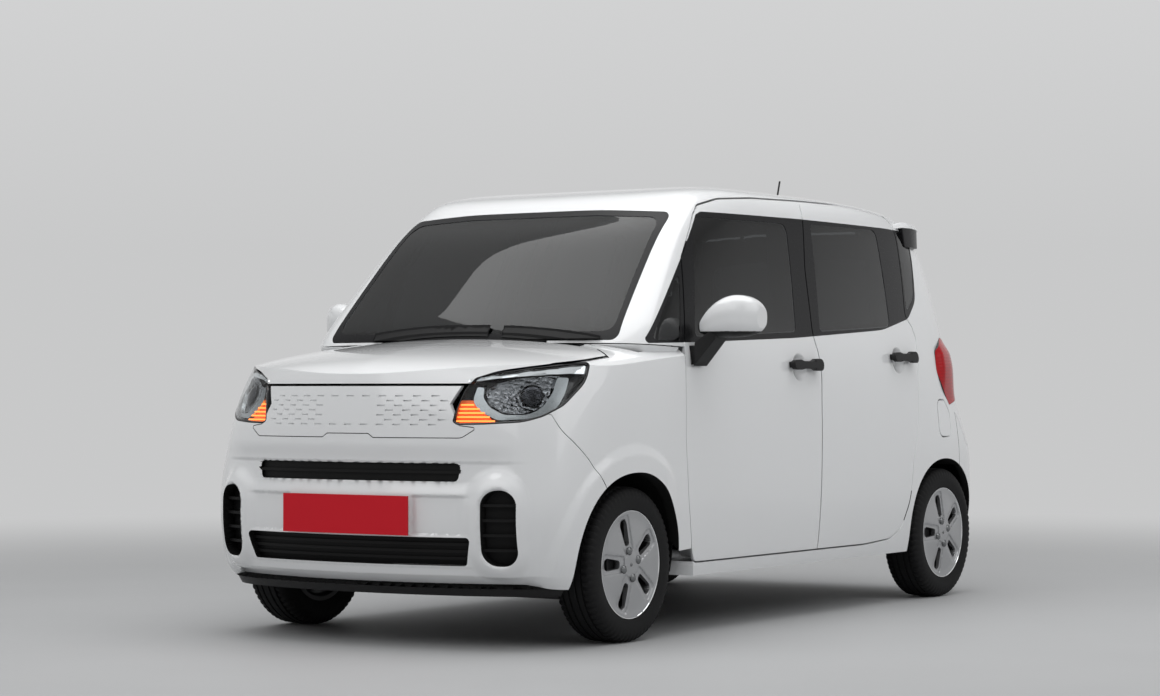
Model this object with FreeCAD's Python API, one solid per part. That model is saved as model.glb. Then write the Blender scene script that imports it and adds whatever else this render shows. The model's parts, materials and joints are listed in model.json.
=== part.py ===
"""Tall, boxy five-door kei car: one solid per piece, in millimetres.

+X points forward, +Y to the car's left and +Z up. The origin lies on the
ground under the middle of the bodywork.
"""
import FreeCAD, Part
import math
import os

from FreeCAD import Matrix, Placement, Vector

# Driving dimensions of the whole car
wheelbase = 2520.0
front_axle_x = 1140.0
track = 1400.0
body_half_width = 800.0
roof_height = 1702.0
nose_x = 1790.0
tail_x = -1800.0

# Wheels and tyres
tyre_radius = 277.0
tyre_width = 165.0
tyre_shoulder = 26.0
rim_radius = 178.0
rim_wall = 7.0
cover_radius = 193.0
cover_slots = 5
cover_turn = 285.5
cover_slot = [(70, -14, 12), (165, -25, 20), (165, 25, 20), (70, 14, 12)]
cover_channel = [(42, -28, 14), (179, -38, 16), (179, 38, 16), (42, 28, 14)]
channel_depth = 4.0
spindle_radius = 17.0
disc_radius = 104.0
disc_offset = 30.0
disc_thickness = 12.0

# Wheel arches
front_arch = (305.0, 354.0, 328.0, 0.92)
rear_arch = (326.0, 334.0, 320.0, 0.94)
arch_steps = 24
housing_wall = 6.0
housing_gap = 14.0
front_housing_inner = 400.0
rear_housing_inner = 590.0
strut_y = 520.0

# Panels, glass and gaps
door_depth = 62.0
door_flange = 12.0
door_step = 14.0
door_gap = 7.0
frame_depth = 150.0
pocket_margin = 20.0
wing_depth = 40.0
shoulder_depth = 14.0
shoulder_inner = 560.0
handle_face = 33.0
handle_back = 14.0
recess_radius = 57.0
recess_depth = 15.0
recess_back = 92.0
bumper_depth = 28.0
panel_depth = 16.0
bonnet_depth = 24.0
roof_depth = 30.0
roof_half_width = 585.0
glass_depth = 6.0
glass_flange = 26.0
lamp_depth = 90.0
tail_lamp_depth = 55.0
seam = 3.0
seat_gap = 0.4
tailgate_depth = 55.0

# Heights
sill_bottom = 212.0
sill_top = 262.0
floor_height = 262.0
floor_thickness = 30.0
tunnel_half_width = 90.0
luggage_floor = 440.0
bulkhead_x = 980.0
rail_inner = 280.0
rail_outer = 340.0
rail_bottom = 330.0
rail_top = 420.0
belt_height = 1075.0
panel_bottom = 733.0
panel_top = 914.0

# Hinges: places of the axes
front_door_hinge = (715.0, 783.0)
rear_door_hinge = (-300.0, 784.0)
hinge_heights = (480.0, 700.0)
hinge_relief = 113.0
hinge_pin = 3.5
hinge_arm_width = 8.0
hinge_arm_height = 16.0
hinge_pin_length = 80.0
bonnet_hinge = (1136.0, 1062.0)
tailgate_hinge = (-1548.0, 1580.0)
lid_pin = 3.0
lid_hinge_y = 300.0
lid_arm_width = 12.0
flap_pin = 2.0
flap_pin_ends = ((-1348.0, 780.6, 675.0), (-1348.0, 760.4, 865.0))
pin_fit = 0.3
swing_gap = 5.4
kingpin_radius = 16.0

# Seats and controls
seat_width = 470.0
seat_offset = 335.0
wheel_rim_radius = 178.0
wheel_rim_bar = 13.0
steering_centre = (470.0, 335.0, 880.0)
steering_rake = 28.0
hub_face = 28.0

# Plates
plate_width = 552.0
plate_height = 136.0
plate_depth = 8.0
plate_bottom = 396.0
plate_back = nose_x - 1.2
rear_plate_x = -1722.0
rear_plate_width = 520.0
rear_plate_bottom = 700.0
rear_plate_height = 110.0

# Worked out from the sizes above
rear_axle_x = front_axle_x - wheelbase
wheel_y = track / 2
hub_z = tyre_radius
opening_margin = 42.0
far = 3000.0

# The skin is a net of poles. Each level gives its height, the half width,
# the nose centre, the nose bow, the nose corner, the windscreen centre, the
# tail centre and how much the tail narrows.
LEVELS = [
    (150, -44, -90, 45, 1500, 1180, 60, 12),
    (230, -18, -38, 45, 1560, 1180, 25, 10),
    (330, -7, -6, 42, 1600, 1175, 3, 8),
    (480, -1, 0, 42, 1625, 1170, 0, 8),
    (640, 0, -4, 46, 1585, 1160, 0, 8),
    (800, -3, -11, 50, 1525, 1150, 75, 20),
    (940, -10, -38, 66, 1455, 1140, 110, 28),
    (1070, -22, -100, 90, 1330, 1125, 118, 36),
    (1200, -49, -150, 80, 1400, 1010, 132, 34),
    (1350, -82, -230, 80, 1300, 873, 160, 34),
    (1490, -117, -310, 80, 1200, 742, 195, 34),
    (1590, -143, -390, 80, 1150, 650, 225, 34),
    (1650, -172, -440, 80, 1100, 592, 245, 34),
]
# The roof closes the net: height below the roof's top and share of the
# highest level's plan that each ring keeps.
ROOF_RINGS = [(19, 0.93), (5, 0.72), (1, 0.42), (0, 0.15)]
# Inside the walls the net goes on upwards instead.
WALL_RINGS = [(-19, 0.93), (60, 0.90), (140, 0.88), (220, 0.86)]
roof_centre_x = -300.0
flank_end = -500.0
roof_fall_front = 42.0
roof_fall_rear = 48.0


def knots(count):
    """Clamped, evenly spaced knots of a cubic curve with count poles."""
    inner = count - 4
    values = [i / (inner + 1) for i in range(inner + 2)]
    return values, [4] + [1] * inner + [4]


def surface(rows):
    """A bi-cubic surface over a net of poles, row by row."""
    u_values, u_mults = knots(len(rows))
    v_values, v_mults = knots(len(rows[0]))
    sheet = Part.BSplineSurface()
    sheet.buildFromPolesMultsKnots(
        rows, u_mults, v_mults, u_values, v_values, False, False, 3, 3)
    return sheet


def flank(start, half, count):
    """Evenly spaced poles along the flat side, from start to the rear door."""
    return [(start + (flank_end - start) * (i + 1) / (count + 1), half) for i in range(count)]


def tail_contour(half, tail, taper):
    """Side and rear of one level, from the rear door round to the middle."""
    return [(flank_end, half), (-950, half - 0.35 * taper), (-1300, half - taper),
            (tail + 190, half - 1.6 * taper - 4), (tail + 38, half - 2.2 * taper - 30),
            (tail + 20, 520), (tail, 330), (tail, 150), (tail, 0)]


def nose_contour(level, inset):
    """One level of the bonnet, wing and bumper skin, left half."""
    _, narrow, back, bow, corner, _, tail, taper = level
    half = body_half_width + narrow - inset
    nose = nose_x + back - inset
    corner -= inset
    front = [(nose, 0), (nose, 180), (nose - bow, 430), (nose - 2.2 * bow, 600),
             (corner, half - 35), (corner - 170, half - 2)]
    return front + flank(corner - 170, half, 5) + tail_contour(half, tail_x + tail + inset, taper)


def cabin_contour(level, inset):
    """One level of the windscreen, door and tail skin, left half."""
    _, narrow, _, _, _, screen, tail, taper = level
    half = body_half_width + narrow - inset
    screen -= inset
    front = [(screen, 0), (screen, 180), (screen - 18, 400), (screen - 48, half - 105),
             (screen - 95, half - 20), (screen - 200, half - 9), (screen - 330, half - 3)]
    return front + flank(screen - 330, half, 4) + tail_contour(half, tail_x + tail + inset, taper)


def roof_fall(x):
    """How far the roof drops below its middle height at x."""
    front = max(0.0, (x - 100.0) / 450.0)
    rear = max(0.0, (-700.0 - x) / 850.0)
    return roof_fall_front * front ** 2 + roof_fall_rear * rear ** 2


def roof_share(z):
    """How much of the roof's fall a level follows."""
    return max(0.0, min(1.0, (z - 1490.0) / 160.0))


def roof_ring(base, height, share):
    """One ring of poles over the plan of the highest level."""
    ring = []
    for x, y in base:
        ring_x = roof_centre_x + share * (x - roof_centre_x)
        fall = roof_fall(ring_x) if share > 0.2 else 0.0
        ring.append(Vector(ring_x, share * y, height - fall))
    return ring


def wall_rows(contour, inset):
    """Pole rows of the side walls alone, left half, open above the roof."""
    rows = [[Vector(x, y, level[0] - roof_share(level[0]) * roof_fall(x))
             for x, y in contour(level, inset)] for level in LEVELS]
    base = contour(LEVELS[-1], inset)
    for rise, share in WALL_RINGS:
        rows.append(roof_ring(base, roof_height + rise, share))
    rows[-1] = [Vector(p.x, p.y, roof_height + WALL_RINGS[-1][0]) for p in rows[-1]]
    return rows


def skin_rows(contour, inset):
    """Pole rows of the whole skin, left half, closed over the roof."""
    rows = []
    for level in LEVELS:
        share = roof_share(level[0])
        rows.append([Vector(x, y, level[0] - share * (inset + roof_fall(x)))
                     for x, y in contour(level, inset)])
    base = contour(LEVELS[-1], inset)
    for depth, share in ROOF_RINGS:
        rows.append(roof_ring(base, roof_height - inset - depth, share))
    return rows


def closed_skin(rows):
    """A solid between a left half net and its mirror image."""
    left = surface(rows)
    right = surface([[Vector(p.x, -p.y, p.z) for p in row] for row in rows])
    caps = []
    for end in (0.0, 1.0):
        edges = [side.uIso(end).toShape() for side in (left, right)]
        caps.append(Part.Face(Part.Wire(edges)))
    shell = Part.Shell([left.toShape(), right.toShape()] + caps)
    solid = Part.Solid(shell)
    if solid.Volume < 0:
        solid.reverse()
    return solid


SKINS = {}


def skin(contour, rows, inset):
    """The closed skin of the nose or cabin, moved inwards by inset."""
    key = (contour, rows, inset)
    if key not in SKINS:
        SKINS[key] = closed_skin(rows(contour, inset))
    return SKINS[key].copy()


def cabin(inset=0.0):
    """The cabin under its roof."""
    return skin(cabin_contour, skin_rows, inset)


def walls(inset=0.0):
    """The cabin's side walls, which go on above the roof."""
    return skin(cabin_contour, wall_rows, inset)


def nose(inset=0.0):
    """The nose's side walls, which the bonnet closes."""
    return skin(nose_contour, wall_rows, inset)


def outline(points, grow=0.0):
    """Flat face from points (a, b) or (a, b, corner radius)."""
    count = len(points)
    ends = []
    for i, point in enumerate(points):
        here = Vector(point[0], point[1], 0)
        radius = point[2] if len(point) > 2 else 0.0
        to_last = Vector(*points[i - 1][:2], 0) - here
        to_next = Vector(*points[(i + 1) % count][:2], 0) - here
        turn = to_last.getAngle(to_next)
        if radius <= 0 or turn > math.pi - 0.01:
            ends.append((here, None, here))
            continue
        reach = min(radius / math.tan(turn / 2), 0.47 * to_last.Length, 0.47 * to_next.Length)
        radius = reach * math.tan(turn / 2)
        first = here + to_last.normalize() * reach
        last = here + to_next.normalize() * reach
        inward = (first + last) * 0.5 - here
        centre = here + inward.normalize() * (radius / math.sin(turn / 2))
        middle = centre + (here - centre).normalize() * radius
        ends.append((first, middle, last))
    edges = []
    for i, (first, middle, last) in enumerate(ends):
        if middle:
            edges.append(Part.Arc(first, middle, last).toShape())
        following = ends[(i + 1) % count][0]
        if last.distanceToPoint(following) > 1e-6:
            edges.append(Part.LineSegment(last, following).toShape())
    face = Part.Face(Part.Wire(edges))
    return face.makeOffset2D(grow) if grow else face


def side_prism(points, low=-far, high=far, grow=0.0):
    """Outline of (x, z) drawn out along Y from low to high."""
    face = outline(points, grow)
    face.Placement = Placement(Matrix(1, 0, 0, 0, 0, 0, -1, low, 0, 1, 0, 0))
    return face.extrude(Vector(0, high - low, 0))


def front_prism(points, low, high, grow=0.0):
    """Outline of (y, z) drawn out along X from low to high."""
    face = outline(points, grow)
    face.Placement = Placement(Matrix(0, 0, 1, low, 1, 0, 0, 0, 0, 1, 0, 0))
    return face.extrude(Vector(high - low, 0, 0))


def plan_prism(points, low, high, grow=0.0):
    """Outline of (x, y) drawn out along Z from low to high."""
    face = outline(points, grow)
    face.translate(Vector(0, 0, low))
    return face.extrude(Vector(0, 0, high - low))


def both_sides(points):
    """The left half of an outline of (y, z), closed by its mirror image."""
    return list(points) + [(-p[0],) + tuple(p[1:]) for p in reversed(points)]


def box(x0, x1, y0, y1, z0, z1):
    return Part.makeBox(x1 - x0, y1 - y0, z1 - z0, Vector(x0, y0, z0))


def rod(start, end, radius):
    """A round bar from start to end."""
    start, end = Vector(*start), Vector(*end)
    return Part.makeCylinder(radius, start.distanceToPoint(end), start, end - start)


def turned(profile, centre, axis):
    """Profile of (radius, offset along axis) turned about the axis."""
    points = [Vector(r, 0, a) for r, a in profile]
    face = Part.Face(Part.makePolygon(points + points[:1]))
    solid = face.revolve(Vector(0, 0, 0), Vector(0, 0, 1), 360)
    solid.Placement = Placement(Vector(*centre), FreeCAD.Rotation(Vector(0, 0, 1), Vector(*axis)))
    return solid


def mirrored(shape):
    return shape.mirror(Vector(0, 0, 0), Vector(0, 1, 0))


def largest(shape):
    """The biggest solid of a shape, free of slivers."""
    return max(shape.Solids, key=lambda s: s.Volume)


def fused(pieces):
    """One solid from pieces that touch."""
    result = pieces[0].fuse(pieces[1:]) if len(pieces) > 1 else pieces[0]
    return result.removeSplitter()


def save(name, shape):
    solids = shape.Solids
    shape = solids[0] if len(solids) == 1 else Part.makeCompound(solids)
    shape.exportStep("parts/" + name + ".step")
    print(name, len(solids), round(shape.Volume / 1e6, 2), shape.isValid())


# Seams, each drawn once and used by the pieces on both sides of it
B_SEAM = [(-226, 262), (-238, 500, 300), (-252, 855, 300), (-262, 960, 200), (-250, 1040, 150),
          (-222, 1115, 150), (-262, 1374, 400), (-373, 1660)]
FRONT_DOOR = ([(716, sill_top, 34), (742, 300, 200), (776, 490, 300), (795, 700, 300), (786, 870, 300),
               (770, 1055, 200), (664, 1388, 60), (500, 1556, 60), (440, 1600, 60), (286, 1632, 300),
               (16, 1650, 900)] + B_SEAM[::-1])
REAR_DOOR = (B_SEAM + [(-796, 1665, 900), (-1120, 1655, 200), (-1205, 1630, 50), (-1218, 1560, 60),
                       (-1165, 1360, 400), (-1118, 1205, 60), (-1172, 1165, 60), (-1194, 1110, 60),
                       (-1160, 935, 400), (-1117, 731, 400), (-1067, 598, 300), (-1035, 430, 200),
                       (-960, 315, 120), (-860, 274, 120), (-640, sill_top, 300)])
WINDOW_BAND = [(1012, 1066, 12), (660, 1074, 3000), (-71, 1099, 3000), (-861, 1143, 800),
               (-1150, 1196, 160), (-1270, 1275, 120), (-1330, 1420, 400), (-1392, 1578, 30),
               (-1120, 1583, 900), (-283, 1582, 3000), (440, 1574, 60), (480, 1560, 30)]
FRONT_GLASS = [(690, 1092, 25), (520, 1553, 110), (-192, 1557, 40), (-88, 1122, 25)]
REAR_GLASS = [(-285, 1126, 25), (-397, 1566, 30), (-1008, 1572, 40), (-942, 1156, 40)]
TRIANGLE_GLASS = [(968, 1080, 16), (794, 1076, 16), (694, 1346, 16)]
QUARTER_GLASS = [(-1232, 1570, 16), (-1380, 1570, 20), (-1325, 1420, 300), (-1262, 1290, 100),
                 (-1145, 1218, 20)]
SCREEN = both_sides([(662, 1078, 26), (598, 1568, 40), (300, 1584, 3000)])
TAILGATE = both_sides([(400, 600, 60), (545, 690, 120), (585, 860, 300), (598, 1100, 400),
                       (580, 1400, 400), (530, 1575, 60), (250, 1592, 3000)])
REAR_WINDOW = both_sides([(470, 1120, 70), (505, 1300, 300), (478, 1466, 70), (200, 1482, 3000)])
LAMP = [(-646, 790, 8), (-632, 779, 20), (-539, 781, 100), (-402, 788, 300), (-333, 808, 120),
        (-263, 844, 120), (-183, 927, 150), (-168, 995, 12), (-275, 988, 500), (-379, 976, 300),
        (-483, 962, 200), (-567, 944, 60), (-603, 903, 100), (-632, 840, 200)]
lamp_turn = math.radians(35.0)
PANEL = both_sides([(92, panel_bottom + 14, 14), (112, panel_bottom, 14), (452, panel_bottom, 34),
                    (505, 768, 6), (440, 776, 4), (400, 850, 0), (430, panel_top, 0)])
BONNET_LINE = [(1668, 918), (1653, 938, 20), (1609, 963, 150), (1543, 977, 150), (1463, 990, 150),
               (1361, 1000, 300), (1253, 1012, 20)]
BUMPER_SEAM = [(1549, 813), (1533, 757, 150), (1482, 705, 200), (1428, 655, 200),
               (1347, 563, 200), (1290, 470)]
TAIL_LAMP = [(-1505, 1121, 14), (-1392, 1062, 24), (-1378, 975, 60), (-1420, 890, 200), (-1482, 826, 12),
             (-1560, 840, 60), (-1900, 900), (-1900, 1090), (-1600, 1112, 60)]
REAR_BUMPER = [(-1900, 100), (-1900, 645), (-1642, 645, 60), (-1566, 765, 60), (-1538, 795),
               (-1533, 560, 200), (-1503, 470), (-1503, 100)]
FLAP = [(-1338, 850, 40), (-1333, 690, 40), (-1462, 690, 40), (-1466, 800, 60), (-1420, 850, 30)]
UPPER_SLOT = both_sides([(440, 583, 18), (452, 646, 18)])
LOWER_SLOT = both_sides([(470, 293, 14), (494, 391, 14)])
HANDLE = [(0, 19, 18), (-58, 21, 12), (-84, 15, 24), (-150, 15, 24), (-174, 25, 14), (-238, 25, 24),
          (-238, -23, 24), (-174, -23, 14), (-150, -15, 24), (-84, -15, 24), (-58, -19, 12), (0, -19, 18)]
FRONT_HANDLE = (8, 993)
REAR_HANDLE = (-884, 1030)
HANDLE_FEET = [(-29, -8), (-226, -184)]
MIRROR_HEAD = [(800, 640, 712, 1104, 1150), (838, 602, 716, 1093, 1206), (888, 574, 712, 1090, 1240),
               (940, 562, 700, 1092, 1246), (982, 557, 670, 1102, 1230), (1003, 558, 630, 1126, 1200)]
fog_centre = (589.0, 425.0)
fog_width = 118.0
fog_height = 258.0
fog_louvres = 4


def lamp_prism(low, high, grow=0.0):
    """The headlamp's outline, drawn out along its own slanted direction."""
    sine, cosine = math.sin(lamp_turn), math.cos(lamp_turn)
    face = outline(LAMP, grow)
    face.Placement = Placement(Matrix(-sine, 0, cosine, low * cosine, cosine, 0, sine, low * sine,
                                      0, 1, 0, 0))
    return face.extrude(Vector(cosine, sine, 0) * (high - low))


def fog_outline():
    """Upright oval opening in the bumper's corner, as (y, z)."""
    y, z = fog_centre
    w, h = fog_width / 2, fog_height / 2
    r = w
    return [(y - w, z - h, r), (y + w, z - h, r), (y + w, z + h, r), (y - w, z + h, r)]


def arch(side_low, side_high, axle_x, sizes, grow=0.0):
    """Wheel arch opening: two quarter ovals over the axle, open below.

    Sizes are the lengths behind and ahead of the axle, the height over the
    hub and a fullness: below 1 the oval is squarer than an ellipse.
    """
    behind, ahead, height, fullness = sizes
    points = []
    for i in range(arch_steps + 1):
        angle = math.pi * i / arch_steps
        reach = (ahead if 2 * i < arch_steps else behind) + grow
        across = math.copysign(abs(math.cos(angle)) ** fullness, math.cos(angle))
        points.append(Vector(axle_x + reach * across, side_low,
                             hub_z + (height + grow) * max(0.0, math.sin(angle)) ** fullness))
    curve = Part.BSplineCurve()
    curve.interpolate(points)
    feet = [Vector(points[-1].x, side_low, -10), Vector(points[0].x, side_low, -10)]
    edges = [curve.toShape()] + [Part.LineSegment(start, end).toShape() for start, end in (
        (points[-1], feet[0]), (feet[0], feet[1]), (feet[1], points[0]))]
    return Part.Face(Part.Wire(edges)).extrude(Vector(0, side_high - side_low, 0))


def both_arches(shape, axle_x, sizes, grow=0.0):
    """The shape with the left and right arches cut out."""
    for low, high in ((300, 900), (-900, -300)):
        shape = shape.cut(arch(low, high, axle_x, sizes, grow))
    return shape


def bonnet_sheet(lower=0.0):
    """Solid below the bonnet's crowned top surface."""
    profile = [(1830, 860), (1795, 905), (1762, 945), (1700, 986), (1600, 1016), (1430, 1050),
               (1220, 1077), (1060, 1093), (900, 1105), (720, 1114)]
    crown = [(0, 0), (200, -3), (400, -12), (560, -24), (660, -36), (720, -48), (765, -66), (800, -100),
             (850, -170)]
    rows = []
    for x, z in profile:
        half = [Vector(x - 0.00012 * y * y, y, z + drop - lower) for y, drop in crown]
        rows.append([Vector(p.x, -p.y, p.z) for p in half[:0:-1]] + half)
    return surface(rows).toShape().extrude(Vector(0, 0, -700))


def bonnet_zone(grow=0.0):
    """Everything above the bonnet's parting line and ahead of the windscreen."""
    rear = [(1225, 900), (1228, 740, 60), (1152, 640, 80), (1128, 400, 300), (1120, 0), (1128, -400, 300),
            (1152, -640, 80), (1228, -740, 60), (1225, -900), (1900, -900), (1900, 900)]
    side = [(1900, 918)] + BONNET_LINE + [(1080, 1030), (1080, 1200), (1900, 1200)]
    return side_prism(side, grow=grow).common(plan_prism(rear, 800, 1300, grow=grow))


def make_bonnet():
    block = nose().common(bonnet_sheet()).common(bonnet_zone(-door_gap / 2))
    inner = nose(bonnet_depth).common(bonnet_sheet(bonnet_depth))
    block = block.cut(inner)
    x, z = bonnet_hinge
    half = lid_arm_width / 2 + swing_gap
    for y in (lid_hinge_y, -lid_hinge_y):
        block = block.cut(box(1000, x + half, y - half, y + half, 900, z + lid_pin + swing_gap))
        block = block.cut(rod((x, y - 21, z), (x, y + 21, z), lid_pin + pin_fit))
    return largest(block)


def make_grille_panel():
    block = nose().common(front_prism(PANEL, 1500, 1900, grow=-seam / 2))
    block = block.cut(nose(panel_depth))
    for side in (lamp_prism(1000, 2500, seam / 2), mirrored(lamp_prism(1000, 2500, seam / 2))):
        block = block.cut(side)
    return largest(block)


def bumper_block():
    """The front bumper's skin before its openings are cut."""
    points = [(1900, 150), (1900, 830), (1600, 830)] + BUMPER_SEAM + [(1290, 150)]
    block = nose().common(side_prism(points, grow=-seam / 2)).cut(nose(bumper_depth))
    block = block.cut(box(1000, 1900, -900, 900, 0, 212))
    block = block.cut(front_prism(PANEL, 1500, 1900, grow=seam / 2))
    block = block.cut(box(1400, 1900, -430, 430, panel_bottom + 20, 1100))
    for lamp in (lamp_prism(1000, 2500, seam / 2), mirrored(lamp_prism(1000, 2500, seam / 2))):
        block = block.cut(lamp)
    return block


def make_front_bumper():
    block = bumper_block()
    for opening in (UPPER_SLOT, LOWER_SLOT):
        block = block.cut(front_prism(opening, 1400, 1900))
    fog = front_prism(fog_outline(), 1400, 1900)
    block = block.cut([fog, mirrored(fog)])
    return largest(both_arches(block, front_axle_x, front_arch))


def make_bumper_grilles():
    """Black inserts behind the two slots and in the two corner openings."""
    inserts = []
    recess, depth, bar = 16.0, 26.0, 10.0
    for opening, bars in ((UPPER_SLOT, 1), (LOWER_SLOT, 3)):
        low = min(p[1] for p in opening)
        high = max(p[1] for p in opening)
        zone = front_prism(opening, 1400, 1900, grow=-seat_gap)
        insert = zone.common(nose(recess + 10)).cut(nose(recess + depth))
        for i in range(bars):
            z = low + (high - low) * (i + 1) / (bars + 1)
            slat = box(1500, 1900, -600, 600, z - bar / 2, z + bar / 2)
            insert = insert.fuse(zone.common(nose(recess)).cut(nose(recess + depth)).common(slat))
        inserts.append(largest(insert.removeSplitter()))
    zone = front_prism(fog_outline(), 1400, 1900, grow=-seat_gap)
    fog = zone.common(nose(recess + 14)).cut(nose(recess + depth))
    for i in range(fog_louvres):
        height = fog_centre[1] + fog_height * ((i + 1) / (fog_louvres + 1) - 0.5)
        slat = box(1400, 1900, 300, 900, height - bar / 2, height + bar / 2)
        fog = fog.fuse(zone.common(nose(4)).cut(nose(recess + depth)).common(slat))
    fog = largest(fog.removeSplitter())
    return Part.makeCompound(inserts + [fog, mirrored(fog)])


def make_front_apron():
    """Black lip under the bumper."""
    block = nose(6).common(box(1440, 1900, -900, 900, 185, 212 - seat_gap))
    return largest(both_arches(block.cut(nose(60)), front_axle_x, front_arch, 4))


def make_headlamp():
    block = nose().common(lamp_prism(1000, 2500, -seam / 2)).cut(nose(lamp_depth))
    return largest(block.cut(bonnet_zone(door_gap / 2)))


def wing_outline():
    rear = [(720, sill_bottom, 6), (742, 300, 200), (776, 490, 300), (795, 700, 300), (786, 870, 300),
            (771, 1050)]
    top = [(1010, 1060), (1120, 1072), (1236, 1062, 14), (1257, 1010, 20), (1361, 997, 300),
           (1463, 987, 150), (1543, 974, 150), (1600, 960)]
    return rear + top + [(1600, 830)] + BUMPER_SEAM + [(1290, sill_bottom)]


def make_front_wing():
    block = nose().common(side_prism(wing_outline(), 300, 900, grow=-seam / 2))
    block = block.cut(nose(wing_depth)).common(bonnet_sheet())
    block = block.cut(bonnet_zone(door_gap / 2))
    block = block.cut(lamp_prism(1000, 2500, seam / 2))
    block = block.cut(arch(300, 900, front_axle_x, front_arch))
    shoulder = nose().common(bonnet_sheet()).cut(bonnet_sheet(shoulder_depth))
    shoulder = shoulder.common(box(980, 1260, shoulder_inner, 900, 900, 1200))
    shoulder = shoulder.cut([bonnet_zone(door_gap / 2), walls(-seat_gap), lamp_prism(1000, 2500, seam / 2)])
    block = fused([block, largest(shoulder)])
    block = block.cut(side_prism(FRONT_DOOR, 300, 900, grow=door_gap / 2 + 0.5))
    block = block.cut(side_prism(frame_outline(), 300, 900, grow=seat_gap))
    return largest(block)


def pocket(prism, depth):
    """What is cut so that a piece of this depth seats in a deeper one."""
    return prism.cut(walls(depth))


def frame_outline():
    return [(708, sill_bottom), (734, 300), (769, 490), (788, 700), (779, 870), (764, 1056), (1010, 1064),
            (1130, 1072), (1130, 1130), (640, 1760), (-1900, 1760), (-1900, sill_bottom)]


def make_side_frame():
    """Left side: pillars, roof rail, sill and rear quarter as one pressing."""
    block = cabin().common(side_prism(frame_outline(), 380, 900)).cut(walls(frame_depth))
    block = block.cut(side_prism(REAR_BUMPER, 300, 900, grow=seam / 2))
    block = block.cut(box(-1900, -1400, 0, 590, 200, 1700))
    for door in (FRONT_DOOR, REAR_DOOR):
        zone = side_prism(door, 300, 900, grow=door_gap / 2)
        block = block.cut(pocket(zone, door_depth + pocket_margin))
        block = block.cut(side_prism(door, 300, 900, grow=-opening_margin))
    block = block.cut(pocket(front_prism(SCREEN, 400, 1300, grow=seat_gap), glass_depth + seat_gap))
    block = block.cut(front_prism(SCREEN, 400, 1300, grow=-glass_flange))
    roof = box(-1900, 900, 0, roof_half_width + seat_gap, 1500, 1800)
    block = block.cut(roof.cut(cabin(roof_depth + seat_gap)))
    band = side_prism(WINDOW_BAND, 300, 900, grow=seat_gap)
    block = block.cut(pocket(band, glass_depth + seat_gap))
    for window in (TRIANGLE_GLASS, QUARTER_GLASS):
        block = block.cut(side_prism(window, 300, 900))
    gate = front_prism(TAILGATE, -1900, -1300, grow=door_gap / 2)
    block = block.cut(pocket(gate, tailgate_depth + pocket_margin))
    block = block.cut(pocket(side_prism(TAIL_LAMP, 300, 900), tail_lamp_depth + seat_gap))
    block = block.cut(arch(300, 900, rear_axle_x, rear_arch))
    block = block.cut(pocket(side_prism(FLAP, 600, 900, grow=door_gap / 2), 24))
    front_x, rear_x = front_door_hinge[0], rear_door_hinge[0]
    block = block.cut(pocket(box(front_x - 20, front_x + 79, 300, 900, sill_top + 3, 1000), hinge_relief))
    block = block.cut(pocket(box(rear_x - 38, rear_x + 79, 300, 900, sill_top + 3, 1300), hinge_relief))
    arms = door_hinge_arms(front_door_hinge, 758) + door_hinge_arms(rear_door_hinge, -250)
    return largest(fused([largest(block)] + arms + [rod(*flap_pin_ends, flap_pin)]))


def door_hinge_arms(axis, post_x):
    """Arms on a pillar, each with the upright pin that a door turns on."""
    x, y = axis
    half, tall = hinge_arm_width / 2, hinge_arm_height / 2
    inner, outer = y - hinge_relief - 14, y + hinge_pin / 2
    pieces = []
    for z in hinge_heights:
        pieces.append(box(x - half, x + half, inner, outer, z - tall, z + tall))
        pieces.append(box(x - half, post_x, inner, inner + 24, z - tall, z + tall))
        reach = hinge_pin_length / 2
        pieces.append(rod((x, y, z - reach), (x, y, z + reach), hinge_pin))
    return pieces


def make_roof():
    block = cabin().common(box(-1900, 700, -roof_half_width, roof_half_width, 1540, 1760))
    block = block.cut(cabin(roof_depth))
    block = block.cut(pocket(front_prism(SCREEN, 400, 1300, grow=seat_gap), glass_depth + seat_gap))
    block = block.cut(front_prism(SCREEN, 400, 1300, grow=-glass_flange))
    gate = front_prism(TAILGATE, -1900, -1400, grow=door_gap / 2)
    gate.translate(Vector(0, 0, swing_gap))
    block = largest(block.cut(gate))
    x, z = tailgate_hinge
    pieces = [block]
    for y in (lid_hinge_y, -lid_hinge_y):
        near, away = y - lid_arm_width / 2, y + lid_arm_width / 2
        pieces.append(box(x - lid_pin, x + 61, near, away, z - lid_pin, z + lid_pin))
        pieces.append(box(x + 41, x + 61, near, away, z - lid_pin, z + 34))
        pieces.append(rod((x, y - 20, z), (x, y + 20, z), lid_pin))
    return largest(fused(pieces))


def door(points, glass, axis, handle):
    """One door panel, as thick as the whole door, with its window cut."""
    zone = side_prism(points, 300, 900, grow=-door_gap / 2)
    block = cabin().common(zone).cut(walls(door_depth))
    core = side_prism(points, 300, 900, grow=-door_gap / 2 - door_step)
    block = block.cut(walls(door_flange).cut(core))
    x, y = axis
    reach = hinge_pin_length / 2 + 1
    for z in hinge_heights:
        half, tall = hinge_arm_width / 2 + swing_gap, hinge_arm_height / 2 + swing_gap
        notch = box(x - half, x + 100, 600, y + hinge_pin + swing_gap, z - tall, z + tall)
        bore = rod((x, y, z - reach), (x, y, z + reach), hinge_pin + pin_fit)
        block = block.cut([notch, bore])
    band = side_prism(WINDOW_BAND, 300, 900, grow=seat_gap)
    block = block.cut(pocket(band, glass_depth + seat_gap))
    block = block.cut(side_prism(glass, 300, 900, grow=-4))
    rail_edge = roof_half_width + door_gap + seat_gap
    return largest(block.cut([box(-1900, 1100, 300, rail_edge, 1500, 1800), handle_recess(*handle)]))


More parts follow.
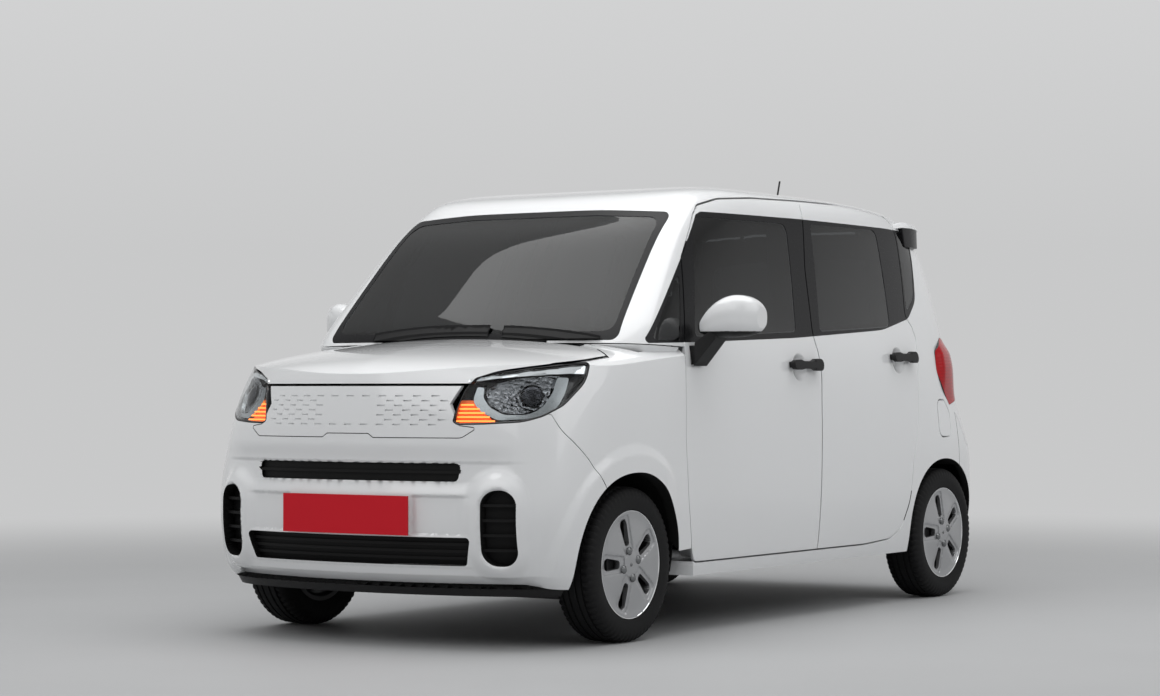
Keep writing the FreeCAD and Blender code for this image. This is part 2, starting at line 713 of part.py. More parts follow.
def window_pane(points):
    """The dark band of one door or quarter: glass with its black border."""
    band = side_prism(WINDOW_BAND, 300, 900)
    pane = walls().common(band).common(points).cut(walls(glass_depth))
    return largest(pane)


def make_windscreen():
    pane = cabin().common(front_prism(SCREEN, 400, 1300)).cut(walls(glass_depth))
    return largest(pane)


def make_tail_lamp():
    block = walls().common(side_prism(TAIL_LAMP, 300, 900, grow=-seam / 2)).cut(walls(tail_lamp_depth))
    gate = front_prism(TAILGATE, -1900, -1300, grow=door_gap / 2)
    return largest(block.cut(gate))


def make_rear_bumper():
    block = walls().common(side_prism(REAR_BUMPER, grow=-seam / 2)).cut(walls(bumper_depth))
    block = block.cut(box(-1900, -1400, -900, 900, 100, 232))
    block = block.cut(front_prism(TAILGATE, -1900, -1300, grow=door_gap / 2))
    block = block.cut(side_prism(TAIL_LAMP, grow=seam / 2))
    return largest(both_arches(block, rear_axle_x, rear_arch))


def rear_plate_outline():
    half, low = rear_plate_width / 2, rear_plate_bottom
    return [(-half, low, 6), (half, low, 6), (half, low + rear_plate_height, 6),
            (-half, low + rear_plate_height, 6)]


def make_tailgate():
    zone = front_prism(TAILGATE, -1900, -1480, grow=-door_gap / 2)
    block = cabin().common(zone).cut(walls(tailgate_depth))
    block = block.cut(front_prism(REAR_WINDOW, -1900, -1300, grow=-4))
    window = front_prism(REAR_WINDOW, -1900, -1300, grow=20 + seat_gap)
    block = block.cut(pocket(window, glass_depth + seat_gap))
    block = block.cut(front_prism(rear_plate_outline(), -1900, rear_plate_x, grow=8))
    x, z = tailgate_hinge
    visor = side_prism([(x - 20, z - 14, 4), (-1670, 1550, 8), (-1670, 1538, 8), (-1560, 1518, 10)],
                       -470, 470).cut(walls(tailgate_depth - 10))
    block = fused([largest(block), visor])
    half = lid_arm_width / 2 + swing_gap
    for y in (lid_hinge_y, -lid_hinge_y):
        side = lid_pin + swing_gap
        block = block.cut(box(x - side, -1400, y - half, y + half, z - side, 1700))
        block = block.cut(rod((x, y - 21, z), (x, y + 21, z), lid_pin + pin_fit))
    return largest(block)


def make_tailgate_glass():
    window = front_prism(REAR_WINDOW, -1900, -1300, grow=20)
    return largest(walls().common(window).cut(walls(glass_depth)))


def make_fuel_flap():
    block = walls().common(side_prism(FLAP, 600, 900, grow=-door_gap / 2)).cut(walls(8))
    return largest(block.cut(rod(*flap_pin_ends, flap_pin + pin_fit)))


def mirror_section(y, back, front, low, high):
    """Rounded closed section of the mirror head at y."""
    points = []
    for i in range(16):
        turn = 2 * math.pi * i / 16
        across, up = [math.copysign(abs(v) ** 0.75, v) for v in (math.cos(turn), math.sin(turn))]
        points.append(Vector((back + front + across * (front - back)) / 2, y,
                             (low + high + up * (high - low)) / 2))
    curve = Part.BSplineCurve()
    curve.interpolate(points, PeriodicFlag=True)
    return Part.Wire(curve.toShape())


def make_mirror():
    """Door mirror: rounded head on a slanted stalk."""
    head = Part.makeLoft([mirror_section(*row) for row in MIRROR_HEAD], True)
    stalk = Part.makeLoft([
        Part.makePolygon([Vector(x, 798.5, z) for x, z in ((650, 985), (745, 985), (737, 1070),
                                                           (666, 1070), (650, 985))]),
        Part.makePolygon([Vector(x, 860, z) for x, z in ((600, 1090), (690, 1086), (694, 1130),
                                                         (600, 1130), (600, 1090))])], True)
    stalk = stalk.fuse(box(660, 735, 700, 800, 990, 1060))
    return largest(fused([head, stalk]).cut(walls(-seat_gap)))


def handle_recess(x, z):
    """Round bowl in the door skin behind the grip."""
    radius = (recess_radius ** 2 + recess_depth ** 2) / (2 * recess_depth)
    centre_x = x - recess_back
    probe = Part.makeLine(Vector(centre_x, 600, z), Vector(centre_x, 900, z)).common(walls())
    skin_y = max(v.Y for v in probe.Vertexes)
    return Part.makeSphere(radius, Vector(centre_x, skin_y + radius - recess_depth, z))


def make_handle(x, z):
    """Pull handle with two round ends over its recess."""
    grip = side_prism([(x + a, z + b, radius) for a, b, radius in HANDLE], 600, 900)
    grip = walls(-handle_face).common(grip).cut(walls(-handle_back))
    feet = [walls(-handle_back - 4).common(box(x + a, x + b, 600, 900, z - 12, z + 12)).cut(walls(-seat_gap))
            for a, b in HANDLE_FEET]
    return largest(fused([largest(grip)] + feet))


def make_cowl():
    """Black trough between the bonnet and the windscreen."""
    low = 1000 + seat_gap
    zone = [(1094, 1050), (1160, 1030), (1160, low), (985, low), (985, 1036), (1050, 1066)]
    block = side_prism(zone, -640, 640).common(nose(wing_depth + 2))
    block = block.common(bonnet_sheet(48)).cut(walls(-seat_gap).common(
        box(600, 1300, -900, 900, 1070, 1400)))
    frame = side_prism(frame_outline(), 380, 900, grow=seat_gap)
    pieces = [largest(block.cut([frame, mirrored(frame)]))]
    x, z = bonnet_hinge
    half = lid_arm_width / 2
    for y in (lid_hinge_y, -lid_hinge_y):
        pieces.append(box(x - half, x + half, y - half, y + half, low, z + lid_pin))
        pieces.append(rod((x, y - 20, z), (x, y + 20, z), lid_pin))
    return largest(fused(pieces))


def make_underbody():
    """Floor, bulkhead and the beams that carry lamps, bumpers and panel."""
    top, under = floor_height, floor_height - floor_thickness
    deck = luggage_floor
    pieces = [box(-980, 800, -700, 700, under, top),
              box(-400, 800, -tunnel_half_width, tunnel_half_width, under, top + 50),
              box(-1000, -960, -700, 700, under, deck),
              box(-1640, -960, -700, 700, deck - 20, deck),
              box(-1640, -1610, -560, 560, 300, 600)]
    slope = [(790, top), (800, under), (bulkhead_x + 30, rail_top), (bulkhead_x + 30, 1000),
             (bulkhead_x, 1000), (bulkhead_x, deck)]
    pieces.append(side_prism(slope, -640, 640))
    for sign in (1, -1):
        low, high = sorted((sign * rail_inner, sign * rail_outer))
        pieces.append(box(bulkhead_x, 1560, low, high, rail_bottom, rail_top))
    pieces.append(box(1540, 1580, -330, 330, 300, 870))
    pieces.append(box(1540, 1580, -500, 500, 300, 760))
    body = fused(pieces)
    sides = box(-1900, 760, -900, 900, 0, 1700).cut(walls(frame_depth + seat_gap))
    body = body.cut(sides)
    for low, high in ((front_housing_inner, 900), (-900, -front_housing_inner)):
        body = body.cut(grown_housing(front_axle_x, front_arch, low, high))
    for low, high in ((rear_housing_inner, 900), (-900, -rear_housing_inner)):
        body = body.cut(grown_housing(rear_axle_x, rear_arch, low, high))
    panel_beam = box(1560, 1900, -320, 320, 820, 850).common(nose(panel_depth + seat_gap))
    bumper_beam = box(1560, 1900, -520, 520, 455, 535).common(nose(bumper_depth + seat_gap))
    rear_beam = box(-1900, -1620, -520, 520, 400, 480).common(walls(bumper_depth + seat_gap))
    beams = [panel_beam, bumper_beam, rear_beam]
    for sign in (1, -1):
        low, high = sorted((sign * 440, sign * 500))
        beams.append(box(1440, 1900, low, high, 740, 860).common(nose(lamp_depth + seat_gap)))
    return fused([body] + beams)


def grown_housing(axle_x, sizes, low, high):
    """The space of one wheel housing with the gap to what stands round it."""
    return arch(low - seat_gap, high + seat_gap, axle_x, sizes, housing_gap + housing_wall + seat_gap)


def wheel_housing(axle_x, sizes, inner, outer):
    """Curved liner over a wheel with its inner wall."""
    shell = arch(inner, outer, axle_x, sizes, housing_gap + housing_wall)
    hollow = arch(inner + housing_wall, outer + 1, axle_x, sizes, housing_gap)
    return shell.cut(hollow).cut(box(axle_x - 500, axle_x + 500, 0, 900, -200, sill_bottom + 20))


def make_liners():
    front = wheel_housing(front_axle_x, front_arch, front_housing_inner, 900)
    front = front.common(nose(wing_depth + seat_gap))
    front = front.cut(rod((front_axle_x, strut_y, 500), (front_axle_x, strut_y, 700), 52))
    rear = wheel_housing(rear_axle_x, rear_arch, rear_housing_inner, 900)
    rear = rear.common(walls(frame_depth + seat_gap))
    rear = rear.cut(rod((rear_axle_x, 500, hub_z), (rear_axle_x, 605, hub_z), 50))
    return [largest(front), largest(rear)]


def make_wheel(centre, side):
    """Rim with brake disc and slotted cover; side is +1 on the left."""
    w = tyre_width / 2 - 10
    r = rim_radius - 0.3
    disc_back, disc_face = disc_offset, disc_offset + disc_thickness
    face = [(0, 77), (62, 77), (160, 72), (cover_radius, w + 1)]
    profile = [(spindle_radius + 0.3, disc_back + 4), (spindle_radius + 0.3, 56), (0, 56)] + face + [
        (cover_radius, w - 5), (r, w - 5),
        (r, w - 20), (r - 12, w - 34), (r - 12, -w + 26), (r, -w + 16), (r, -w + 4), (r + 9, -w),
        (r - rim_wall, -w), (r - 12 - rim_wall, -w + 12), (r - 12 - rim_wall, 52), (150, 56),
        (60, 50), (50, disc_face), (disc_radius, disc_face), (disc_radius, disc_back),
        (40, disc_back), (40, disc_back + 4)]
    floor = [(radius, offset - channel_depth) for radius, offset in face]
    sunken = turned(floor + [(cover_radius, 100), (0, 100)], centre, (0, side, 0))
    facing = Placement(Vector(*centre), FreeCAD.Rotation(Vector(0, 0, 1), Vector(0, side, 0)))
    cutters = []
    for i in range(cover_slots):
        turn = cover_turn + 360 / cover_slots * i
        for points, within in ((cover_slot, None), (cover_channel, sunken)):
            prism = outline(points).extrude(Vector(0, 0, 60))
            prism.rotate(Vector(0, 0, 0), Vector(0, 0, 1), turn)
            prism.Placement = facing.multiply(prism.Placement)
            prism.translate(Vector(0, side * 40, 0))
            cutters.append(prism.common(within) if within else prism)
    return largest(turned(profile, centre, (0, side, 0)).cut(cutters))


def make_tyre(centre, side):
    half = tyre_width / 2
    s = tyre_shoulder
    r = tyre_radius
    profile = [(rim_radius, -half + 16), (r - 55, -half), (r - s - 8, -half + 1), (r - 9, -half + 10),
               (r, -half + s), (r, half - s), (r - 9, half - 10), (r - s - 8, half - 1),
               (r - 55, half), (cover_radius + 2, half - 5), (cover_radius + 2, half - 18),
               (rim_radius, half - 20)]
    return turned(profile, centre, (0, side, 0))


def make_knuckle():
    """Left upright: stub axle, caliper and lower ball socket."""
    x, y = front_axle_x, wheel_y
    pieces = [rod((x, y - 60, hub_z), (x, y + 54, hub_z), spindle_radius),
              rod((x, y - 60, hub_z), (x, y - 12, hub_z), 42),
              box(x - 22, x + 22, y - 60, y - 14, hub_z - 90, hub_z),
              box(x - 22, x + 22, y - 60, y + 22, hub_z - 104, hub_z - 84),
              box(x + 60, x + 118, y - 52, y + 22, hub_z - 34, hub_z + 44),
              box(x, x + 100, y - 52, y - 16, hub_z - 12, hub_z + 12)]
    body = fused(pieces)
    socket = Part.makeCylinder(kingpin_radius + 0.3, 60, Vector(x, y, hub_z - 120))
    return largest(body.cut(socket))


def make_front_suspension():
    """Subframe, lower arms with ball pins and upright dampers."""
    x = front_axle_x
    pieces = [box(x - 60, x + 120, -330, 330, 195, 235), box(x - 140, x - 60, -300, 300, 200, 232)]
    for sign in (1, -1):
        low, high = sorted((sign * (rail_inner + 5), sign * rail_outer))
        pieces.append(box(x + 60, x + 120, low, high, 195, rail_bottom - seat_gap))
        low, high = sorted((sign * 300, sign * (wheel_y + 20)))
        pieces.append(box(x - 24, x + 24, low, high, hub_z - 134, hub_z - 112))
        low, high = sorted((sign * 300, sign * 332))
        pieces.append(box(x - 24, x + 24, low, high, hub_z - 134, 200))
        pieces.append(rod((x, sign * wheel_y, hub_z - 120), (x, sign * wheel_y, hub_z - 78),
                          kingpin_radius))
        pieces.append(rod((x, sign * strut_y, hub_z - 120), (x, sign * strut_y, 800), 24))
        pieces.append(rod((x, sign * strut_y, 430), (x, sign * strut_y, 800), 46))
        low, high = sorted((sign * 300, sign * 560))
        pieces.append(box(x - 60, x + 60, low, high, 800, 812))
        low, high = sorted((sign * 300, sign * 340))
        pieces.append(box(x - 60, x + 60, low, high, rail_top + seat_gap, 812))
    return fused(pieces)


def make_rear_axle():
    """Twist beam with trailing arms, springs and stub axles."""
    x = rear_axle_x
    pieces = [box(x + 120, x + 190, -560, 560, 250, 310)]
    for sign in (1, -1):
        low, high = sorted((sign * 520, sign * 580))
        pieces.append(box(x - 30, x + 380 - seat_gap, low, high, 255, 305))
        low, high = sorted((sign * 430, sign * 530))
        pieces.append(box(x - 60, x + 130, low, high, 262, 274))
        pieces.append(rod((x - 10, sign * 470, 274), (x - 10, sign * 470, rail_top - seat_gap), 44))
        start = (x, sign * 560, hub_z)
        pieces.append(rod(start, (x, sign * (wheel_y + 54), hub_z), spindle_radius))
        pieces.append(rod(start, (x, sign * (wheel_y - 12), hub_z), 36))
    return fused(pieces)


def make_exhaust():
    pieces = [box(-1600, -1440, -250, 250, 270, 400),
              rod((-1445, 120, 300), (-1300, 60, 205), 22), rod((-1310, 60, 205), (900, 60, 195), 22),
              rod((-1500, 200, 290), (-1740, 300, 262), 22),
              box(-1560, -1500, -20, 20, 395, luggage_floor - 20 - seat_gap)]
    return fused(pieces)


def make_engine():
    half = rail_inner - seat_gap
    return box(1120, 1480, -half, half, 340, 900)


def make_dashboard():
    front = bulkhead_x - seat_gap
    points = [(700, 660, 40), (640, 780, 60), (650, 900, 50), (720, 985, 40), (900, 1030, 60),
              (front, 1040), (front, 645), (880, 645, 40)]
    board = side_prism(points, -600, 600)
    x, y, z = steering_centre
    rake = math.radians(steering_rake)
    axis = Vector(math.cos(rake), 0, -math.sin(rake))
    start = Vector(x, y, z) + axis * (hub_face + seat_gap)
    column = Part.makeCylinder(26, 300, start, axis)
    return fused([board, column])


def make_steering_wheel():
    x, y, z = steering_centre
    rake = math.radians(steering_rake)
    axis = Vector(math.cos(rake), 0, -math.sin(rake))
    centre = Vector(x, y, z)
    ring = Part.makeTorus(wheel_rim_radius, wheel_rim_bar, centre, axis)
    pieces = [ring, Part.makeCylinder(58, hub_face + 6, centre - axis * 6.0, axis)]
    for angle in (0, 180, 270):
        bar = box(-14, 14, 0, wheel_rim_radius, -6, 6)
        bar.rotate(Vector(0, 0, 0), Vector(0, 0, 1), angle - 90)
        bar.Placement = Placement(centre, FreeCAD.Rotation(Vector(0, 0, 1), axis)).multiply(bar.Placement)
        pieces.append(bar)
    return fused(pieces)


def seat(front, rear, width, centre_y, head):
    """Cushion, leaning back and headrest as one padded piece on a base."""
    y0, y1 = centre_y - width / 2, centre_y + width / 2
    base = floor_height + seat_gap
    cushion = side_prism([(front, 430, 40), (front, 560, 50), (rear + 60, 530), (rear - 60, 400)], y0, y1)
    back = side_prism([(rear - 60, 400, 20), (rear + 70, 480, 40), (rear - 60, 1090, 50),
                       (rear - 170, 1080, 40)], y0, y1)
    pieces = [cushion, back, box(rear + 20, front - 60, y0 + 60, y1 - 60, base, 450)]
    if head:
        pieces.append(side_prism([(rear - 150, 1070), (rear - 80, 1070), (rear - 90, 1260, 40),
                                  (rear - 190, 1250, 40)], centre_y - 130, centre_y + 130))
    return fused(pieces)


def make_wipers():
    """Two blades on the windscreen with their arms."""
    wipers = []
    for pivot, tip in (((1078, 180), (1078, 600)), ((1078, -420), (1086, 120))):
        zone = plan_prism([(pivot[0] - 4, pivot[1]), (tip[0] - 12, tip[1]), (tip[0] + 8, tip[1]),
                           (pivot[0] + 16, pivot[1])], 1050, 1200)
        blade = cabin(-14).cut(walls(-seat_gap)).common(zone).common(box(900, 1200, -700, 700, 1082, 1140))
        wipers.append(largest(blade))
    return Part.makeCompound(wipers)


def make_front_plate():
    return box(plate_back, plate_back + plate_depth, -plate_width / 2, plate_width / 2,
               plate_bottom, plate_bottom + plate_height)


def make_rear_plate():
    back = rear_plate_x - seat_gap
    return front_prism(rear_plate_outline(), back - plate_depth / 2, back)


def make_antenna():
    return rod((-1274, 0, 1650), (-1331, 0, 1824), 4).cut(cabin(-seat_gap))


os.makedirs("parts", exist_ok=True)

save("underbody", make_underbody())
save("wheel_liners", Part.makeCompound(make_liners() + [mirrored(s) for s in make_liners()]))
side_frame = make_side_frame()
save("side_frame_left", side_frame)
save("side_frame_right", mirrored(side_frame))
save("roof_panel", make_roof())
wing = make_front_wing()
save("front_wing_left", wing)
save("front_wing_right", mirrored(wing))
save("front_bumper", make_front_bumper())
save("bumper_grilles", make_bumper_grilles())
save("front_apron", make_front_apron())
save("grille_panel", make_grille_panel())
lamp = make_headlamp()
save("headlamps", Part.makeCompound([lamp, mirrored(lamp)]))
tail_lamp = make_tail_lamp()
save("tail_lamps", Part.makeCompound([tail_lamp, mirrored(tail_lamp)]))
save("rear_bumper", make_rear_bumper())
save("windscreen", make_windscreen())
save("bonnet", make_bonnet())
save("cowl", make_cowl())

front_zone = side_prism(FRONT_DOOR, 300, 900, grow=-door_gap / 2)
rear_zone = side_prism(REAR_DOOR, 300, 900, grow=-door_gap / 2)
front_door = door(FRONT_DOOR, FRONT_GLASS, front_door_hinge, FRONT_HANDLE)
rear_door = door(REAR_DOOR, REAR_GLASS, rear_door_hinge, REAR_HANDLE)
front_pane = window_pane(front_zone)
rear_pane = window_pane(rear_zone)
front_handle = make_handle(*FRONT_HANDLE)
rear_handle = make_handle(*REAR_HANDLE)
mirror = make_mirror()
body_side = side_prism([(1100, 900), (1100, 1700), (-1900, 1700), (-1900, 900)], 300, 900)
body_side = body_side.cut(side_prism(FRONT_DOOR, 300, 900, grow=door_gap / 2))
body_side = body_side.cut(side_prism(REAR_DOOR, 300, 900, grow=door_gap / 2))
band_rest = walls().common(side_prism(WINDOW_BAND, 300, 900)).common(body_side).cut(walls(glass_depth))
quarters = sorted(band_rest.Solids, key=lambda s: -s.Volume)[:2]
save("quarter_glass", Part.makeCompound(quarters + [mirrored(s) for s in quarters]))
for side, flip in (("left", lambda s: s), ("right", mirrored)):
    save("door_front_" + side, flip(front_door))
    save("door_rear_" + side, flip(rear_door))
    save("glass_front_" + side, flip(front_pane))
    save("glass_rear_" + side, flip(rear_pane))
    save("handle_front_" + side, flip(front_handle))
    save("handle_rear_" + side, flip(rear_handle))
    save("mirror_" + side, flip(mirror))
    save("knuckle_" + side, flip(make_knuckle()))
    sign = 1 if side == "left" else -1
    for end, x in (("front", front_axle_x), ("rear", rear_axle_x)):
        hub = (x, sign * wheel_y, hub_z)
        save("wheel_" + end + "_" + side, make_wheel(hub, sign))
        save("tyre_" + end + "_" + side, make_tyre(hub, sign))
save("tailgate", make_tailgate())
save("tailgate_glass", make_tailgate_glass())
save("fuel_flap", make_fuel_flap())
save("front_suspension", make_front_suspension())
save("rear_axle", make_rear_axle())
save("exhaust", make_exhaust())
save("engine", make_engine())
save("dashboard", make_dashboard())
save("steering_wheel", make_steering_wheel())
save("front_seats", Part.makeCompound([seat(520, 60, seat_width, y, True)
                                       for y in (seat_offset, -seat_offset)]))
save("rear_seat", seat(-420, -860, 1120, 0.0, False))
save("wipers", make_wipers())
save("plate_front", make_front_plate())
save("plate_rear", make_rear_plate())
save("antenna", make_antenna())
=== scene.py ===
"""Tall white kei car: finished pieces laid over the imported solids."""
import bpy
import bmesh
import json
import math
import numpy
from contextlib import contextmanager
from mathutils import Matrix, Vector
from mathutils.bvhtree import BVHTree
from mathutils.geometry import delaunay_2d_cdt
from mathutils.interpolate import poly_3d_calc


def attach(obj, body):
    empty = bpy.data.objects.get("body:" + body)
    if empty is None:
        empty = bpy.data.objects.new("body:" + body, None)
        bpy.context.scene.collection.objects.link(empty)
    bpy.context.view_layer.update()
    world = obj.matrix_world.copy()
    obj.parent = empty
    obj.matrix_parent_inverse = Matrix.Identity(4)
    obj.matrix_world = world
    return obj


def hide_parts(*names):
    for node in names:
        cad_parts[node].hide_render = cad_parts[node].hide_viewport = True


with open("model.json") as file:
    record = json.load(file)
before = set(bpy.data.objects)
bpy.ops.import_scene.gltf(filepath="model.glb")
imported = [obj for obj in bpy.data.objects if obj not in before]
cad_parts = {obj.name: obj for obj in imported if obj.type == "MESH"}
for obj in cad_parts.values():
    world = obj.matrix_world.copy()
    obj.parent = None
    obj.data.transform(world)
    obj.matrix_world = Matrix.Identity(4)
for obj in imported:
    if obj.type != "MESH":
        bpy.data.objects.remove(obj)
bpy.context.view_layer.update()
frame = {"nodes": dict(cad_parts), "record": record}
nodes = frame["nodes"]
node_body = {node: body
             for body, members in frame["record"]["behaviour"]["bodies"].items()
             for node in members}

MM = 0.001
SIDES = (("left", 1), ("right", -1))
AXLES = {"front": 1.140, "rear": -1.380}
WHEEL_PLANE = 0.700
HUB_HEIGHT = 0.277
ARCH_REACH, ARCH_TOP = 0.39, 0.66
LAMP_TURN = math.radians(35)
PROJECTOR_CENTRE = Vector((-372, 878))
PROJECTOR_RADIUS, DOME_NEAR, DOME_DEEP = 40, 22, 20
BOWL_ACROSS, BOWL_UP, BOWL_NEAR, BOWL_DEEP = 130, 66, 24, 26
SIDE_SPAN, SCREEN_SPAN, TAIL_SPAN = (300, 900), (400, 1400), (-1900, -1300)
SKIN_REACH = 0.0012

# Outlines drawn on the body, in millimetres: two places and a corner radius
FRONT_GLASS = [(690, 1092, 25), (520, 1553, 110), (-192, 1557, 40), (-88, 1122, 25)]
REAR_GLASS = [(-285, 1126, 25), (-397, 1566, 30), (-1008, 1572, 40), (-942, 1156, 40)]
TRIANGLE_GLASS = [(968, 1080, 16), (794, 1076, 16), (694, 1346, 16)]
QUARTER_GLASS = [(-1232, 1570, 16), (-1380, 1570, 20), (-1325, 1420, 300), (-1262, 1290, 100),
                 (-1145, 1218, 20)]
SCREEN_GLASS = [(-634, 1112, 40), (-574, 1548, 60), (-300, 1562, 900), (300, 1562, 900),
                (574, 1548, 60), (634, 1112, 40), (300, 1106, 900), (-300, 1106, 900)]
REAR_WINDOW = [(-470, 1120, 70), (-505, 1300, 300), (-478, 1466, 70), (-200, 1482, 900),
               (200, 1482, 900), (478, 1466, 70), (505, 1300, 300), (470, 1120, 70)]
LAMP = [(-646, 790, 8), (-632, 779, 20), (-539, 781, 100), (-402, 788, 300), (-333, 808, 120),
        (-263, 844, 120), (-183, 927, 150), (-168, 995, 12), (-275, 988, 500), (-379, 976, 300),
        (-483, 962, 200), (-567, 944, 60), (-603, 903, 100), (-632, 840, 200)]
TOP_STRIP = [(-597, 924, 4), (-492, 938, 200), (-407, 945, 200), (-237, 955, 200), (-183, 953, 8),
             (-176, 984, 6), (-238, 982, 200), (-392, 967, 200), (-487, 951, 200), (-588, 934, 4)]
SILVER_HOOK = [(-560, 908, 8), (-578, 857, 40), (-547, 822, 40), (-492, 794, 60), (-392, 798, 200),
               (-330, 812, 60), (-284, 838, 60), (-256, 890, 60), (-243, 940, 8), (-283, 942, 10),
               (-300, 890, 60), (-330, 846, 40), (-355, 826, 40), (-392, 812, 100),
               (-470, 812, 60), (-518, 838, 40), (-541, 872, 30), (-536, 906, 8)]
REFLECTOR = [(-531, 892, 14), (-486, 921, 60), (-412, 938, 200), (-329, 946, 100), (-262, 946, 14),
             (-303, 880, 60), (-345, 834, 50), (-408, 815, 80), (-470, 818, 60), (-520, 848, 30)]
INDICATOR = [(-636, 796, 10), (-622, 784, 12), (-496, 784, 20), (-540, 822, 40), (-572, 862, 20),
             (-622, 862, 12)]

# The skin's levels: height, half width over HALF_WIDTH, nose centre over NOSE_X,
# nose bow, nose corner, windscreen centre, tail centre over TAIL_X and how much
# the tail narrows. The sides run straight from the front corners to SIDES_END.
HALF_WIDTH, NOSE_X, SIDES_END, TAIL_X = 800, 1790, -500, -1800
LEVELS = [
    (150, -44, -90, 45, 1500, 1180, 60, 12),
    (230, -18, -38, 45, 1560, 1180, 25, 10),
    (330, -7, -6, 42, 1600, 1175, 3, 8),
    (480, -1, 0, 42, 1625, 1170, 0, 8),
    (640, 0, -4, 46, 1585, 1160, 0, 8),
    (800, -3, -11, 50, 1525, 1150, 75, 20),
    (940, -10, -38, 66, 1455, 1140, 110, 28),
    (1070, -22, -100, 90, 1330, 1125, 118, 36),
    (1200, -49, -150, 80, 1400, 1010, 132, 34),
    (1350, -82, -230, 80, 1300, 873, 160, 34),
    (1490, -117, -310, 80, 1200, 742, 195, 34),
    (1590, -143, -390, 80, 1150, 650, 225, 34),
    (1650, -172, -440, 80, 1100, 592, 245, 34),
]
# The rings that close the roof or carry the walls on: rise over the roof's
# height, share of the last level's reach from ROOF_MIDDLE, and whether they
# fall with the roof
ROOF_RINGS = [(-19, 0.93, 1), (-5, 0.72, 1), (-1, 0.42, 1), (0, 0.15, 0)]
WALL_RINGS = [(-19, 0.93, 1), (60, 0.90, 1), (140, 0.88, 1), (220, 0.86, 0)]
ROOF_HEIGHT, ROOF_MIDDLE = 1702.0, -300
BONNET_PROFILE = [(1830, 860), (1795, 905), (1762, 945), (1700, 986), (1600, 1016), (1430, 1050),
                  (1220, 1077), (1060, 1093), (900, 1105), (720, 1114)]
BONNET_CROWN = [(0, 0), (200, -3), (400, -12), (560, -24), (660, -36), (720, -48), (765, -66),
                (800, -100), (850, -170)]

# Reliefs of the bumper and wings over the smooth skin, in millimetres
FOG_CENTRE = (589, 425)
FOG_STRAIGHT, FOG_RADIUS, FOG_RISE, FOG_RIM = 70, 60, 19, (-12, 8, 4, 72)
PLATE_SEAT, PLATE_SIDES, PLATE_HEIGHTS = 9, (264, 272, 492, 512), (398, 404, 527, 539)
LOWER_CREASE, LOWER_CREASE_HEIGHTS = 15, (533, 583, 636, 656)
UPPER_CREASE, UPPER_CREASE_HEIGHTS = 9, (636, 650, 650, 716)
SLOT_HALF, SLOT_MIDDLE, SLOT_RISE, SLOT_LIP = 482, 342, 49, 3.5
UNDERTURN_TOP, UNDERTURN_SLOPE = 258, 0.6
# The arch: axle, height of its centre, reach ahead, behind and up, and its flare
ARCH_AXLE, ARCH_CENTRE, ARCH_AHEAD, ARCH_BEHIND, ARCH_TALL = 1140.0, 277.0, 354.0, 305.0, 328.0
ARCH_FLARE, ARCH_MEAN = 10, 330
# The seam under the pillar feet: height at its start, slope and where it starts
FOOT_SEAM, FOOT_SLOPE, FOOT_START = 1054, 0.037, 820

# Ends of the roof spoiler: x, then the four corners (y, z) of the section there
SPOILER_PLATE = [(-1290, [(629, 1596), (641, 1512), (590, 1512), (580, 1600)]),
                 (-1350, [(634, 1600), (641, 1511), (590, 1511), (560, 1600)]),
                 (-1400, [(630, 1600), (632, 1510), (580, 1510), (540, 1600)]),
                 (-1446, [(618, 1594), (622, 1510), (575, 1510), (530, 1596)]),
                 (-1462, [(612, 1592), (614, 1509), (570, 1509), (530, 1594)])]
SPOILER_LIP = [(-1215, [(605, 1585), (600, 1600), (520, 1600), (520, 1580)]),
               (-1290, [(633, 1593), (622, 1618), (520, 1626), (520, 1586)]),
               (-1360, [(638, 1593), (624, 1618), (510, 1626), (510, 1586)]),
               (-1420, [(632, 1590), (616, 1614), (500, 1620), (500, 1584)]),
               (-1478, [(612, 1584), (600, 1604), (500, 1606), (500, 1580)])]

# Outer half of the tyre's section and the bright edge of the wheel cover:
# radius and offset outwards
GROOVE = 6.0
TYRE_HALF = [(178, 62.5), (195.5, 64), (195.5, 77.2), (222, 82.2), (243, 81.4), (259, 77.5),
             (268, 72.2), (273.4, 64.5), (275.6, 58), (276.0, 46), (276.2, 45.5),
             (276.2 - GROOVE, 44.6), (276.2 - GROOVE, 39.4), (276.6, 38.5), (276.8, 20),
             (277 - GROOVE, 19.2), (277 - GROOVE, 13.0), (277, 12.2)]
TYRE_INNER = [(243, -81.4), (222, -82.2), (196, -70), (178, -66)]
TREAD_PITCHES = 66
WHEEL_EDGE = [(189.2, 73.2), (190.4, 75.0), (192.4, 75.2), (193.6, 73.4), (192.6, 70.5)]

# Seat covers: voxels of their skin, shrink before the cloth and largest swelling
SEAT_VOXEL, SEAT_SHRINK, SEAT_SWELL = 0.014, 0.005, 0.014
CLOTH_FRAMES = 20

# Light by height, for the light on the car and for what camera and gloss see
BACKDROP = 0.58
LIGHT_SKY = ((0.0, 0.20), (0.15, 0.24), (0.45, 0.48), (1.0, 0.85))
SEEN_SKY = ((0.0, BACKDROP), (0.05, BACKDROP), (0.17, 0.66), (0.36, 0.26), (0.58, 0.44),
            (0.80, 0.72), (1.0, 0.60))
LAMPS = (("ceiling panel", (0.4, 0.4, 4.8), (0, 0, 0.9), 6.5, 4.0, 146),
         ("front panel", (6.2, 0.4, 4.2), (0.8, 0, 0.6), 6.8, 3.2, 60),
         ("side panel", (-0.6, 6.6, 4.0), (0, 0, 0.7), 7.6, 3.2, 66))

